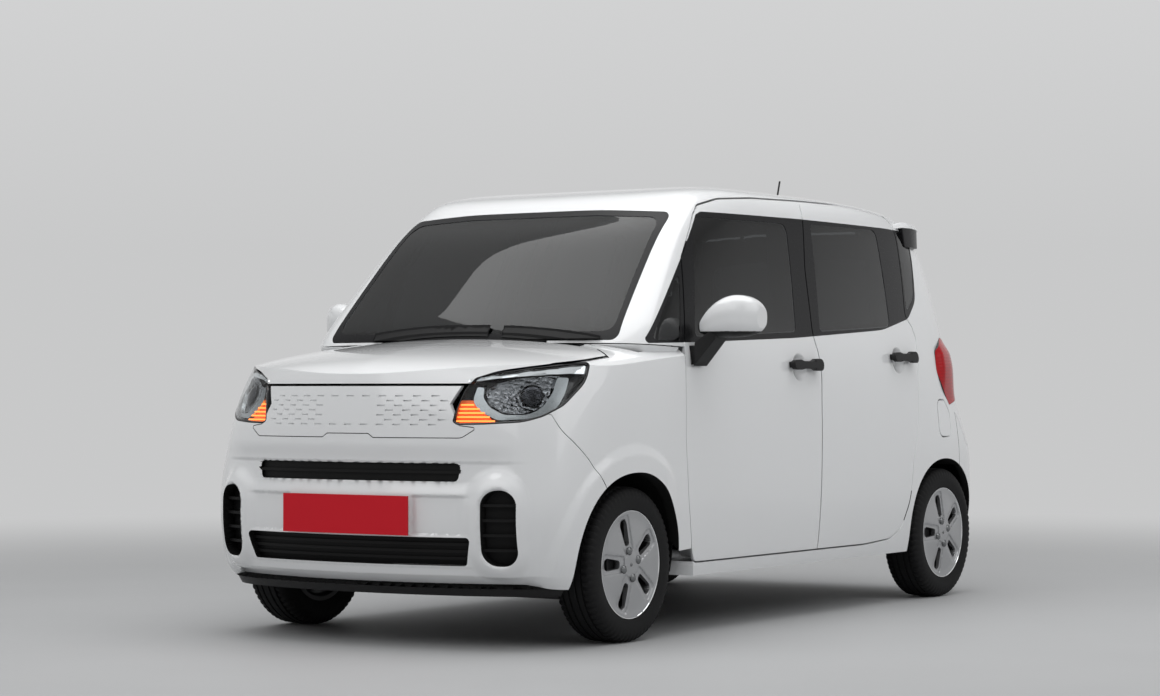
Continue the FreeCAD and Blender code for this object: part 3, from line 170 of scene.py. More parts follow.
# Camera of the photograph, for a frame of 1160 x 696
FRAME_WIDTH, FOCAL_LENGTH, SENSOR = 1160, 2731.88, 36.0
EYE = (9.3491, 5.9773, 0.9164)
YAW, PITCH, ROLL = 3.724944, 0.013443, -0.001171


# Finishes
def connect(tree, node, inputs):
    """Sets a node's inputs to values, or links them to other nodes' outputs."""
    for key, value in inputs.items():
        if isinstance(value, bpy.types.NodeSocket):
            tree.links.new(value, node.inputs[key])
        else:
            node.inputs[key].default_value = value
    return node


def add_node(tree, kind, inputs=None, **settings):
    node = tree.nodes.new(kind)
    for name, value in settings.items():
        setattr(node, name, value)
    return connect(tree, node, inputs or {})


def relief_from(material, height, strength, distance=0.001):
    """Gives a finish its relief from a texture's output."""
    tree = material.node_tree
    bump = add_node(tree, "ShaderNodeBump",
                    {"Height": height, "Strength": strength, "Distance": distance})
    connect(tree, tree.nodes["Principled BSDF"], {"Normal": bump.outputs["Normal"]})


def finish(name, colour, roughness, grain=60.0, relief=0.0, metallic=0.0, coat=0.0,
           transmission=0.0, spread=0.03, sheen=0.0, ior=1.5, glow=None, glow_strength=0.0):
    """A surface whose shade, gloss and relief wander with place."""
    material = bpy.data.materials.new(name)
    material.use_nodes = True
    tree = material.node_tree
    place = add_node(tree, "ShaderNodeTexCoord").outputs["Object"]
    grains = add_node(tree, "ShaderNodeTexNoise",
                      {"Vector": place, "Scale": grain, "Detail": 3.0}).outputs["Fac"]
    gloss = add_node(tree, "ShaderNodeMapRange",
                     {"Value": grains, "To Min": roughness[0], "To Max": roughness[1]})
    drift = add_node(tree, "ShaderNodeTexNoise", {"Vector": place, "Scale": 2.5})
    shade = add_node(tree, "ShaderNodeMix", {
        "Factor": drift.outputs["Fac"], "A": [c * (1 - spread) for c in colour] + [1],
        "B": [min(1, c * (1 + spread)) for c in colour] + [1]}, data_type="RGBA")
    shader = connect(tree, tree.nodes["Principled BSDF"], {
        "Base Color": shade.outputs["Result"], "Roughness": gloss.outputs["Result"],
        "Metallic": metallic, "Coat Weight": coat, "Coat Roughness": 0.04, "IOR": ior,
        "Transmission Weight": transmission, "Sheen Weight": sheen})
    if relief:
        relief_from(material, grains, relief)
    if glow:
        connect(tree, shader, {"Emission Color": [*glow, 1], "Emission Strength": glow_strength})
    material.diffuse_color = [*colour, 1]
    return material


def textured(material, kind, output, strength, distance, inputs, **settings):
    """Gives a finish the relief of one more texture."""
    tree = material.node_tree
    place = tree.nodes["Texture Coordinate"].outputs["Object"]
    texture = add_node(tree, kind, {"Vector": place, **inputs}, **settings)
    relief_from(material, texture.outputs[output], strength, distance)
    return material


white_paint = finish("white paint", (0.80, 0.81, 0.82), (0.18, 0.24), grain=350, relief=0.012,
                     coat=1.0, spread=0.006)
black_gloss = finish("gloss black trim", (0.010, 0.010, 0.011), (0.22, 0.30), grain=200, ior=1.28)
black_plastic = finish("grained black plastic", (0.010, 0.010, 0.0105), (0.42, 0.58), grain=1500,
                       relief=0.25, ior=1.35)
grille_black = finish("grille black", (0.005, 0.005, 0.0052), (0.5, 0.7), grain=900, relief=0.2,
                      ior=1.3)
liner_plastic = finish("dull liner", (0.006, 0.006, 0.006), (0.7, 0.9), grain=400, relief=0.4,
                       ior=1.3)
underside = finish("underbody coating", (0.035, 0.035, 0.038), (0.6, 0.8), grain=300, relief=0.4)
side_glass = finish("tinted side glass", (0.055, 0.06, 0.063), (0.005, 0.012), grain=4,
                    transmission=1.0, ior=1.5)
screen_glass = finish("windscreen glass", (0.07, 0.078, 0.08), (0.005, 0.012), grain=4,
                      transmission=1.0, ior=1.45)
clear_cover = finish("clear lamp cover", (0.93, 0.95, 0.96), (0.004, 0.01), grain=6,
                     transmission=1.0, ior=1.2, spread=0.005)
lamp_black = finish("lamp housing", (0.012, 0.012, 0.013), (0.12, 0.2), grain=80, coat=0.3)
chrome = finish("bright chrome", (0.86, 0.87, 0.88), (0.03, 0.07), grain=20, metallic=1.0)
dark_chrome = finish("dark chrome", (0.20, 0.205, 0.21), (0.08, 0.14), grain=20, metallic=1.0)
projector_black = finish("smoked projector", (0.035, 0.036, 0.04), (0.04, 0.08), grain=20,
                         metallic=1.0)
satin_silver = finish("satin silver", (0.42, 0.44, 0.45), (0.24, 0.32), grain=500, metallic=0.9)
amber_glow = finish("lit amber rib", (0.9, 0.30, 0.05), (0.2, 0.3), glow=(1.0, 0.22, 0.035),
                    glow_strength=2.4)
amber_base = finish("amber reflector", (0.45, 0.09, 0.02), (0.15, 0.3), metallic=0.4, relief=0.5,
                    glow=(1.0, 0.16, 0.02), glow_strength=0.35)
wheel_silver = finish("silver wheel cover", (0.40, 0.405, 0.415), (0.26, 0.34), grain=700,
                      metallic=0.75, relief=0.03, coat=0.35)
brake_steel = finish("brake and rim steel", (0.06, 0.06, 0.062), (0.35, 0.55), grain=120,
                     metallic=0.6, relief=0.1)
rubber = finish("tyre rubber", (0.009, 0.009, 0.0095), (0.62, 0.8), grain=260, relief=0.2, ior=1.3)
cast_metal = finish("cast iron", (0.07, 0.07, 0.072), (0.5, 0.7), grain=300, relief=0.4,
                    metallic=0.5)
alloy = finish("cast aluminium", (0.30, 0.30, 0.31), (0.4, 0.6), grain=240, relief=0.3,
               metallic=0.7)
steel_pipe = finish("dull pipe steel", (0.22, 0.215, 0.21), (0.4, 0.6), grain=90, relief=0.1,
                    metallic=0.85, spread=0.15)
red_enamel = finish("blank red plate", (0.60, 0.004, 0.016), (0.35, 0.45), grain=240, ior=1.35)
white_enamel = finish("blank white plate", (0.74, 0.75, 0.74), (0.3, 0.4), grain=240, coat=0.2)
soft_dash = finish("soft dashboard", (0.040, 0.040, 0.043), (0.6, 0.75), grain=1200, relief=0.3)
lining = finish("roof lining", (0.34, 0.34, 0.33), (0.85, 0.95), grain=900, relief=0.2, sheen=0.2)
grip_leather = finish("wheel grip", (0.026, 0.026, 0.026), (0.45, 0.6), grain=700, relief=0.4)
reflector_chrome = textured(
    finish("faceted reflector", (0.20, 0.205, 0.215), (0.03, 0.08), metallic=1.0),
    "ShaderNodeTexVoronoi", "Distance", 1.0, 0.008, {"Scale": 70.0})
seat_cloth = textured(
    finish("seat cloth", (0.055, 0.056, 0.062), (0.75, 0.95), grain=900, sheen=0.4),
    "ShaderNodeTexWave", "Fac", 0.35, 0.001, {"Scale": 260.0, "Distortion": 2.0})
tail_red = textured(
    finish("red lamp cover", (0.40, 0.008, 0.012), (0.12, 0.2), grain=30, ior=1.3),
    "ShaderNodeTexWave", "Fac", 0.25, 0.002, {"Scale": 22.0}, bands_direction="Z")


# Making meshes
def link(name, mesh):
    piece = bpy.data.objects.new(name, mesh)
    bpy.context.scene.collection.objects.link(piece)
    return piece


@contextmanager
def opened(*meshes):
    """All the meshes' geometry in one, written to the last of them at the end."""
    work = bmesh.new()
    for mesh in meshes:
        work.from_mesh(mesh)
    yield work
    work.to_mesh(meshes[-1])
    work.free()


def closed_mesh(name, points, faces, angle=35):
    """A mesh with its faces turned outwards and its soft edges smoothed."""
    mesh = bpy.data.meshes.new(name)
    mesh.from_pydata(points, [], faces)
    with opened(mesh) as work:
        bmesh.ops.remove_doubles(work, verts=work.verts, dist=1e-6)
        bmesh.ops.recalc_face_normals(work, faces=work.faces)
        for face in work.faces:
            face.smooth = True
    mesh.set_sharp_from_angle(angle=math.radians(angle))
    return mesh


def settle(piece):
    """Applies the modifiers of a piece."""
    graph = bpy.context.evaluated_depsgraph_get()
    mesh = bpy.data.meshes.new_from_object(piece.evaluated_get(graph))
    piece.modifiers.clear()
    piece.data = mesh
    return piece


def shown(piece, body, slot, *materials, stands_for=None):
    """Rides the piece on its body with its finishes; slot is not used."""
    chosen = [face.material_index for face in piece.data.polygons]
    piece.data.materials.clear()
    for material in materials:
        piece.data.materials.append(material)
    piece.data.polygons.foreach_set("material_index", chosen)
    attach(piece, body)
    if stands_for:
        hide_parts(stands_for)
    return piece


def dressed(piece, node, slot, *materials):
    """Shows a piece in place of a CAD node, on that node's body."""
    return shown(piece, node_body[node], slot, *materials, stands_for=node)


def merged_copy(node, name, choose=None, angle=32):
    """A smooth copy of a solid's mesh; choose gives each face its finish."""
    mesh = nodes[node].data.copy()
    with opened(mesh) as work:
        bmesh.ops.remove_doubles(work, verts=work.verts, dist=1e-5)
        bmesh.ops.dissolve_degenerate(work, dist=1e-6, edges=work.edges)
        work.normal_update()
        for face in work.faces:
            face.smooth = True
            face.material_index = choose(face) if choose else 0
    mesh.set_sharp_from_angle(angle=math.radians(angle))
    return link(name, mesh)


def weighted(piece):
    """Lets the large faces set the shading across their soft edges."""
    modifier = piece.modifiers.new("shading", "WEIGHTED_NORMAL")
    modifier.keep_sharp = True
    modifier.weight = 80
    return settle(piece)


def side_poles(start, half, count):
    return [(start + (SIDES_END - start) * (i + 1) / (count + 1), half) for i in range(count)]


def tail_poles(half, tail_back, taper):
    tail = tail_back + TAIL_X
    return [(SIDES_END, half), (-950, half - 0.35 * taper), (-1300, half - taper),
            (tail + 190, half - 1.6 * taper - 4), (tail + 38, half - 2.2 * taper - 30),
            (tail + 20, 520), (tail, 330), (tail, 150), (tail, 0)]


def nose_contour(level):
    _, narrow, back, bow, corner, _, tail, taper = level
    half, nose = HALF_WIDTH + narrow, NOSE_X + back
    front = [(nose, 0), (nose, 180), (nose - bow, 430), (nose - 2.2 * bow, 600),
             (corner, half - 35), (corner - 170, half - 2)]
    return front + side_poles(corner - 170, half, 5) + tail_poles(half, tail, taper)


def cabin_contour(level):
    _, narrow, _, _, _, screen, tail, taper = level
    half = HALF_WIDTH + narrow
    front = [(screen, 0), (screen, 180), (screen - 18, 400), (screen - 48, half - 105),
             (screen - 95, half - 20), (screen - 200, half - 9), (screen - 330, half - 3)]
    return front + side_poles(screen - 330, half, 4) + tail_poles(half, tail, taper)


def roof_fall(x):
    front, rear = max(0, (x - 100) / 450), max(0, (-700 - x) / 850)
    return 42 * front ** 2 + 48 * rear ** 2


def skin_poles(contour, rings):
    """Rows of poles of the left half of the skin, as the solids have them."""
    rows = []
    for level in LEVELS:
        share = max(0, min(1, (level[0] - 1490) / 160))
        rows.append([(x, y, level[0] - share * roof_fall(x)) for x, y in contour(level)])
    for rise, share, falls in rings:
        row = []
        for x, y in contour(LEVELS[-1]):
            x = ROOF_MIDDLE + share * (x - ROOF_MIDDLE)
            row.append((x, share * y, ROOF_HEIGHT + rise - falls * roof_fall(x)))
        rows.append(row)
    return rows


def bonnet_poles():
    return [[(x - 0.00012 * y * y, y, z + drop) for y, drop in BONNET_CROWN]
            for x, z in BONNET_PROFILE]


def blends(count, places):
    """Cubic blending weights of count poles, with even knots clamped at both ends."""
    knots = numpy.concatenate([[0] * 3, numpy.linspace(0, 1, count - 2), [1] * 3])
    t = numpy.clip(places, 0, 1 - 1e-9)[:, None]
    weights = ((t >= knots[:-1]) & (t < knots[1:])).astype(float)
    for degree in (1, 2, 3):
        left, right = knots[:-degree - 1], knots[degree + 1:]
        rise = knots[degree:-1] - left
        fall = right - knots[1:len(knots) - degree]
        up = numpy.where(rise > 0, (t - left) / numpy.where(rise > 0, rise, 1), 0)
        down = numpy.where(fall > 0, (right - t) / numpy.where(fall > 0, fall, 1), 0)
        weights = up * weights[:, :-1] + down * weights[:, 1:]
    return weights


class Skin:
    """A fine net over one curved surface of the solids, with its true normals."""

    def __init__(self, rows, across=150, along=260):
        poles = numpy.array(rows, float) * MM
        u, v = numpy.linspace(0, 1, across), numpy.linspace(0, 1, along)
        step = 1e-4

        def at(us, vs):
            return numpy.einsum("ai,ijk,bj->abk", blends(len(rows), us), poles,
                                blends(len(rows[0]), vs))
        spots = at(u, v)
        lean_u = at(numpy.minimum(u + step, 1), v) - at(numpy.maximum(u - step, 0), v)
        lean_v = at(u, numpy.minimum(v + step, 1)) - at(u, numpy.maximum(v - step, 0))
        facing = numpy.cross(lean_v, lean_u)
        facing /= numpy.maximum(numpy.linalg.norm(facing, axis=2, keepdims=True), 1e-12)
        self.points, self.normals, self.faces = [], [], []
        for flip in (1, 1, 1), (1, -1, 1):
            start = len(self.points)
            self.points += [Vector(p) for p in (spots * flip).reshape(-1, 3)]
            self.normals += [Vector(n) for n in (facing * flip).reshape(-1, 3)]
            for i in range(across - 1):
                for j in range(along - 1):
                    a = start + i * along + j
                    self.faces += [(a, a + 1, a + along), (a + 1, a + along + 1, a + along)]
        middle = Vector((0, 0, 0.8))
        samples = list(zip(self.points, self.normals))[::97]
        if sum(n.dot(p - middle) > 0 for p, n in samples) * 2 < len(samples):
            self.normals = [-n for n in self.normals]
        self.tree = BVHTree.FromPolygons(self.points, self.faces)

    def normal(self, index, place):
        corners = self.faces[index]
        shares = poly_3d_calc([self.points[c] for c in corners], place)
        return sum((self.normals[c] * s for c, s in zip(corners, shares)), Vector()).normalized()


cabin_skin = Skin(skin_poles(cabin_contour, ROOF_RINGS))
SKINS = (cabin_skin, Skin(skin_poles(cabin_contour, WALL_RINGS)),
         Skin(skin_poles(nose_contour, WALL_RINGS)), Skin(bonnet_poles()))


def skin_normals(place):
    """Normals of the skins that pass close to a place."""
    normals = []
    for skin in SKINS:
        hit, _, index, _ = skin.tree.find_nearest(place, SKIN_REACH)
        if hit is not None:
            normals.append(skin.normal(index, hit))
    return normals


def best_facing(normals, facing, least=0.9):
    fits = [normal for normal in normals if normal.dot(facing) > least]
    return max(fits, key=facing.dot) if fits else None


def off_skin(face):
    """1 for a face that lies on none of the skins, or else 0."""
    return 0 if best_facing(skin_normals(face.calc_center_median()), face.normal) else 1


def true_normals(piece):
    """Shades the faces that lie on a skin with that skin's own normals."""
    mesh = piece.data
    found = [skin_normals(vertex.co) for vertex in mesh.vertices]
    corners = [Vector(corner.vector) for corner in mesh.corner_normals]
    for face in mesh.polygons:
        for loop in face.loop_indices:
            normal = best_facing(found[mesh.loops[loop].vertex_index], face.normal, 0.93)
            corners[loop] = normal or corners[loop]
    mesh.normals_split_custom_set(corners)
    return piece


def rounded(points, steps=5):
    """Corner points with radii turned into a fine outline."""
    outline = []
    count = len(points)
    for i, (a, b, radius) in enumerate(points):
        here = Vector((a, b))
        back = Vector(points[i - 1][:2]) - here
        ahead = Vector(points[(i + 1) % count][:2]) - here
        turn = back.angle(ahead)
        if radius <= 0 or turn > math.pi - 0.02:
            outline.append(here)
            continue
        reach = min(radius / math.tan(turn / 2), 0.47 * back.length, 0.47 * ahead.length)
        first = here + back.normalized() * reach
        last = here + ahead.normalized() * reach
        for k in range(steps + 1):
            s = k / steps
            outline.append(first * (1 - s) ** 2 + here * 2 * s * (1 - s) + last * s * s)
    return outline


def inset(outline, distance):
    """The outline moved inwards, in millimetres."""
    area = sum(p.x * q.y - q.x * p.y for p, q in zip(outline, outline[1:] + outline[:1]))
    sign = 1 if area > 0 else -1
    moved = []
    for i, here in enumerate(outline):
        along = (outline[(i + 1) % len(outline)] - outline[i - 1]).normalized()
        moved.append(here + Vector((-along.y, along.x)) * distance * sign)
    return moved


def band(first, second, count):
    """Faces between two closed loops of points, given the index of each one's first."""
    return [(first + i, first + (i + 1) % count, second + (i + 1) % count, second + i)
            for i in range(count)]


def drawn(name, outline, place, low, high):
    """A closed prism from a flat outline; place(a, b, depth) gives metres."""
    count = len(outline)
    points = [place(p.x, p.y, depth) for depth in (low, high) for p in outline]
    faces = [tuple(range(count)), tuple(range(count, 2 * count))] + band(0, count, count)
    return closed_mesh(name, points, faces)


def from_side(side):
    return lambda x, z, y: Vector((x, side * y, z)) * MM


def from_front(y, z, x):
    return Vector((x, y, z)) * MM


def slanted(side):
    """Place in the headlamp's slanted frame: across, height and outwards."""
    along, out = math.cos(LAMP_TURN), math.sin(LAMP_TURN)
    return lambda t, z, s: Vector((s * along - t * out, side * (s * out + t * along), z)) * MM


def cut(piece, tool_mesh, operation):
    """Exact boolean of a piece with a closed mesh."""
    tool = link("tool", tool_mesh)
    modifier = piece.modifiers.new("cut", "BOOLEAN")
    modifier.operation = operation
    modifier.solver = "EXACT"
    modifier.object = tool
    settle(piece)
    bpy.data.objects.remove(tool)
    return piece


def joined_meshes(name, meshes):
    """One mesh from several."""
    joined = bpy.data.meshes.new(name)
    with opened(*meshes, joined):
        return joined


def tree_of(*names):
    """Search tree over the faces of some CAD nodes."""
    points, faces = [], []
    for name in names:
        mesh = nodes[name].data
        start = len(points)
        points += [v.co.copy() for v in mesh.vertices]
        faces += [[start + i for i in face.vertices] for face in mesh.polygons]
    return BVHTree.FromPolygons(points, faces)


def on_skin(tree, place):
    """place(a, b, depth) measured from the skin that the tree holds."""
    def find(a, b, depth):
        start = place(a, b, 3000)
        inward = (place(a, b, 0) - start).normalized()
        hit = tree.ray_cast(start, inward)[0]
        if hit is None:
            hit = tree.find_nearest(place(a, b, 1700))[0]
            flat = place(a, b, 0)
            hit = flat - inward * (hit - flat).dot(-inward)
        return hit + inward * depth * MM
    return find


def sheet_mesh(name, outline, find, near, far, step):
    """A closed plate that follows a surface between two depths in mm."""
    near_at = near if callable(near) else (lambda a, b: near)
    far_at = far if callable(far) else (lambda a, b: far)
    count = len(outline)
    points = [p.copy() for p in outline]
    low_a, high_a = min(p.x for p in outline), max(p.x for p in outline)
    low_b, high_b = min(p.y for p in outline), max(p.y for p in outline)

    def inside(a, b):
        odd = False
        for p, q in zip(outline, outline[1:] + outline[:1]):
            if (p.y > b) != (q.y > b) and a < p.x + (b - p.y) * (q.x - p.x) / (q.y - p.y):
                odd = not odd
        return odd

    def room(a, b):
        here = Vector((a, b))
        return min((here - p).length for p in outline) > step * 0.45

    a = low_a + step / 2
    while a < high_a:
        b = low_b + step / 2
        while b < high_b:
            if inside(a, b) and room(a, b):
                points.append(Vector((a, b)))
            b += step
        a += step
    coords, _, faces, _, _, _ = delaunay_2d_cdt(points, [], [list(range(count))], 1, 1e-5)
    rims = {}
    for face in faces:
        for i, j in zip(face, face[1:] + face[:1]):
            rims[(min(i, j), max(i, j))] = rims.get((min(i, j), max(i, j)), 0) + 1
    total = len(coords)
    places = [find(p.x, p.y, near_at(p.x, p.y)) for p in coords]
    places += [find(p.x, p.y, far_at(p.x, p.y)) for p in coords]
    skins = [tuple(f) for f in faces] + [tuple(total + i for i in f) for f in faces]
    skins += [(i, j, total + j, total + i) for (i, j), used in rims.items() if used == 1]
    return closed_mesh(name, places, skins)


def round_axle(centre, side, turn, profile):
    """Points of (radius, offset outwards) in mm at one turn about a wheel's axle."""
    return [centre + Vector((radius * math.cos(turn), side * offset, radius * math.sin(turn))) * MM
            for radius, offset in profile]


def turned(name, centre, side, sections, angle=35):
    """A closed ring through sections of (turn, profile) about a wheel's axle."""
    points, faces = [], []
    count = len(sections[0][1])
    for i, (turn, profile) in enumerate(sections):
        points += round_axle(centre, side, turn, profile)
        faces += band(i * count, (i + 1) % len(sections) * count, count)
    return closed_mesh(name, points, faces, angle)


# Reliefs
def step_between(low, high, value):
    share = max(0.0, min(1.0, (value - low) / (high - low)))
    return share * share * (3 - 2 * share)


def window(value, rise_from, rise_to, fall_from, fall_to):
    """1 between a soft rise and a soft fall, 0 outside them."""
    return step_between(rise_from, rise_to, value) * (1 - step_between(fall_from, fall_to, value))


def front_relief(place):
    """Height over the smooth skin of the bumper and wings, in metres."""
    x, y, z = place.x * 1000, abs(place.y) * 1000, place.z * 1000
    aside = (y - FOG_CENTRE[0]) * (1.0 if y < FOG_CENTRE[0] else 1.3)
    ring = math.hypot(aside, max(abs(z - FOG_CENTRE[1]) - FOG_STRAIGHT, 0)) - FOG_RADIUS
    bulge = FOG_RISE * window(ring, *FOG_RIM)
    wide = 1 - step_between(540, 700, y)
    height = -PLATE_SEAT * window(y, *PLATE_SIDES) * window(z, *PLATE_HEIGHTS)
    height -= LOWER_CREASE * wide * window(z, *LOWER_CREASE_HEIGHTS)
    height -= UPPER_CREASE * wide * window(z, *UPPER_CREASE_HEIGHTS)
    slot = math.hypot(max(y - SLOT_HALF, 0), max(abs(z - SLOT_MIDDLE) - SLOT_RISE, 0))
    height += SLOT_LIP * (1 - step_between(3, 12, slot))
    height *= step_between(30, 90, ring)
    under = UNDERTURN_SLOPE * max(0.0, UNDERTURN_TOP - z)
    height -= under * (1 - step_between(640, 760, y))
    across = (x - ARCH_AXLE) / (ARCH_AHEAD if x > ARCH_AXLE else ARCH_BEHIND)
    rim = (math.hypot(across, (z - ARCH_CENTRE) / ARCH_TALL) - 1) * ARCH_MEAN
    flare = ARCH_FLARE * (1 - step_between(60, 105, rim)) * step_between(860, 960, x)
    flare *= step_between(600, 720, y)
    return (height + max(bulge, flare)) * MM


def slope_of(relief, place, small=0.0015):
    """How fast a relief rises along each axis at a place."""
    rises = []
    for axis in range(3):
        way = Vector()
        way[axis] = small
        rises.append((relief(place + way) - relief(place - way)) / (2 * small))
    return Vector(rises)


def relieved(piece, planes, relief):
    """Cuts the outer faces finely along the planes and raises them by a relief."""
    mesh = piece.data
    work = bmesh.new()
    work.from_mesh(mesh)
    outer = work.faces.layers.int.new("outer")
    for face in work.faces:
        face[outer] = 1 - off_skin(face)
    for axis, low, high, step in planes:
        for i in range(int((high - low) / step) + 1):
            spot, normal = Vector(), Vector()
            spot[axis], normal[axis] = low + i * step, 1.0
            bmesh.ops.bisect_plane(work, geom=work.verts[:] + work.edges[:] + work.faces[:],
                                   plane_co=spot, plane_no=normal, dist=1e-5)
    bmesh.ops.triangulate(work, faces=[f for f in work.faces if len(f.verts) > 4])
    work.normal_update()
    found, slopes, raised, shades = {}, {}, {}, []

    def skin_normal(vertex, face):
        return best_facing(found[vertex], face.normal) or face.normal
    for face in work.faces:
        shades.append([])
        for vertex in face.verts if face[outer] else ():
            if vertex not in found:
                found[vertex] = skin_normals(vertex.co)
                slopes[vertex] = slope_of(relief, vertex.co)
                raised[vertex] = relief(vertex.co) * skin_normal(vertex, face)
            normal, slope = skin_normal(vertex, face), slopes[vertex]
            shades[-1].append((normal - slope + normal * slope.dot(normal)).normalized())
    for vertex, shift in raised.items():
        vertex.co += shift
    work.to_mesh(mesh)
    work.free()
    corners = [Vector(corner.vector) for corner in mesh.corner_normals]
    for face, shade in zip(mesh.polygons, shades):
        for loop, normal in zip(face.loop_indices, shade):
            corners[loop] = normal
    mesh.normals_split_custom_set(corners)
    return piece


# Body panels
def in_arch(place):
    """Whether a place belongs to the rim of a wheel arch."""
    near = any(math.hypot(place.x - axle, place.z - HUB_HEIGHT) < ARCH_REACH
               for axle in AXLES.values())
    return near and place.z < ARCH_TOP and abs(place.y) > 0.5


def panel_finish(side, lining_axis, level):
    """0 for painted faces, 1 for those that face inwards, 2 for the arch rims."""
    def choose(face):
        if in_arch(face.calc_center_median()) and off_skin(face):
            return 2
        return 1 if face.normal[lining_axis] * side < level else 0
    return choose


def body_panels():
    for name, side in SIDES:
        finish_of = panel_finish(side, 1, -0.4)
        for node, trim in (("side_frame", lining), ("door_front", soft_dash),
                           ("door_rear", soft_dash)):
            full = node + "_" + name
            piece = true_normals(merged_copy(full, full + "_paint", finish_of))
            dressed(piece, full, "white_paint", white_paint, trim, liner_plastic)
        full = "front_wing_" + name
        piece = merged_copy(full, full + "_paint", finish_of)
        relieved(piece, [(0, 0.80, 1.50, 0.012), (2, 0.20, 0.72, 0.012)], front_relief)
        dressed(piece, full, "white_paint", white_paint, liner_plastic, liner_plastic)
    piece = merged_copy("front_bumper", "front_bumper_paint", off_skin)
    relieved(piece, [(2, 0.216, 0.81, 0.009), (1, -0.79, 0.79, 0.012), (0, 1.2, 1.6, 0.02)],
             front_relief)
    dressed(piece, "front_bumper", "white_paint", white_paint, liner_plastic)
    for node, finish_of, inner in (
            ("roof_panel", panel_finish(1, 2, -0.5), lining),
            ("rear_bumper", panel_finish(-1, 0, -0.5), liner_plastic),
            ("tailgate", panel_finish(-1, 0, -0.4), soft_dash),
            ("bonnet", panel_finish(1, 2, -0.4), liner_plastic),
            ("fuel_flap", None, white_paint)):
        piece = true_normals(merged_copy(node, node + "_paint", finish_of))
        dressed(piece, node, "white_paint", white_paint, inner, liner_plastic)


def soft_edges(piece, width, segments=3, angle=30):
    edges = piece.modifiers.new("soft edges", "BEVEL")
    edges.width = width
    edges.segments = segments
    edges.limit_method = "ANGLE"
    edges.angle_limit = math.radians(angle)
    edges.harden_normals = True
    return settle(piece)


def lofted(name, rows, side):
    """Closed piece through four-cornered sections, with its edges rounded."""
    points = [Vector((x, side * y, z)) * MM for row in rows for x, y, z in row]
    last = 4 * (len(rows) - 1)
    faces = [(0, 1, 2, 3), (last, last + 1, last + 2, last + 3)]
    for i in range(0, last, 4):
        faces += band(i, i + 4, 4)
    return soft_edges(link(name, closed_mesh(name, points, faces, 30)), 0.004)


def spoiler_ends():
    """Grey end plates under a white lip that carries the roof's rear edge outwards."""
    plate, lip = ([[(x, y, z) for y, z in section] for x, section in rows]
                  for rows in (SPOILER_PLATE, SPOILER_LIP))
    for name, side in SIDES:
        shown(lofted("spoiler_end_" + name, plate, side), "root", "black_plastic", black_gloss)
        shown(lofted("spoiler_lip_" + name, lip, side), "root", "white_paint", white_paint)


def pillar_feet():
    """White fillets that close the step between each pillar foot and its wing."""
    foot, steps, first, last = 1018, 24, 86, 10

    def edge(angle, level, inside):
        outward = Vector((math.cos(angle), math.sin(angle), 0))
        hit = cabin_skin.tree.ray_cast(Vector((0.78, 0.48, level * MM)), outward)[0]
        return (hit - outward * inside * MM) * 1000
    rows = []
    for i in range(steps + 1):
        angle = math.radians(first - (first - last) * i / steps)
        top = FOOT_SEAM + FOOT_SLOPE * (edge(angle, 1060, 0).x - FOOT_START)
        rows.append([edge(angle, top, 1.5), edge(angle, foot, 30), edge(angle, foot, 44),
                     edge(angle, top, 20)])
    for name, side in SIDES:
        shown(lofted("pillar_foot_" + name, rows, side), "root", "white_paint", white_paint)


def tail_lamps():
    """Red covers that bulge out of the rear corners, with dark flanks."""
    def bulge(place):
        rise = window(place.z * 1000, 835, 1010, 1035, 1125)
        return 0.024 * rise * step_between(1380, 1440, -place.x * 1000)
    piece = merged_copy("tail_lamps", "tail_lamp_covers", off_skin)
    relieved(piece, [(2, 0.82, 1.13, 0.01), (0, -1.7, -1.37, 0.012)], bulge)
    dressed(piece, "tail_lamps", "lamp_red", tail_red, lamp_black)


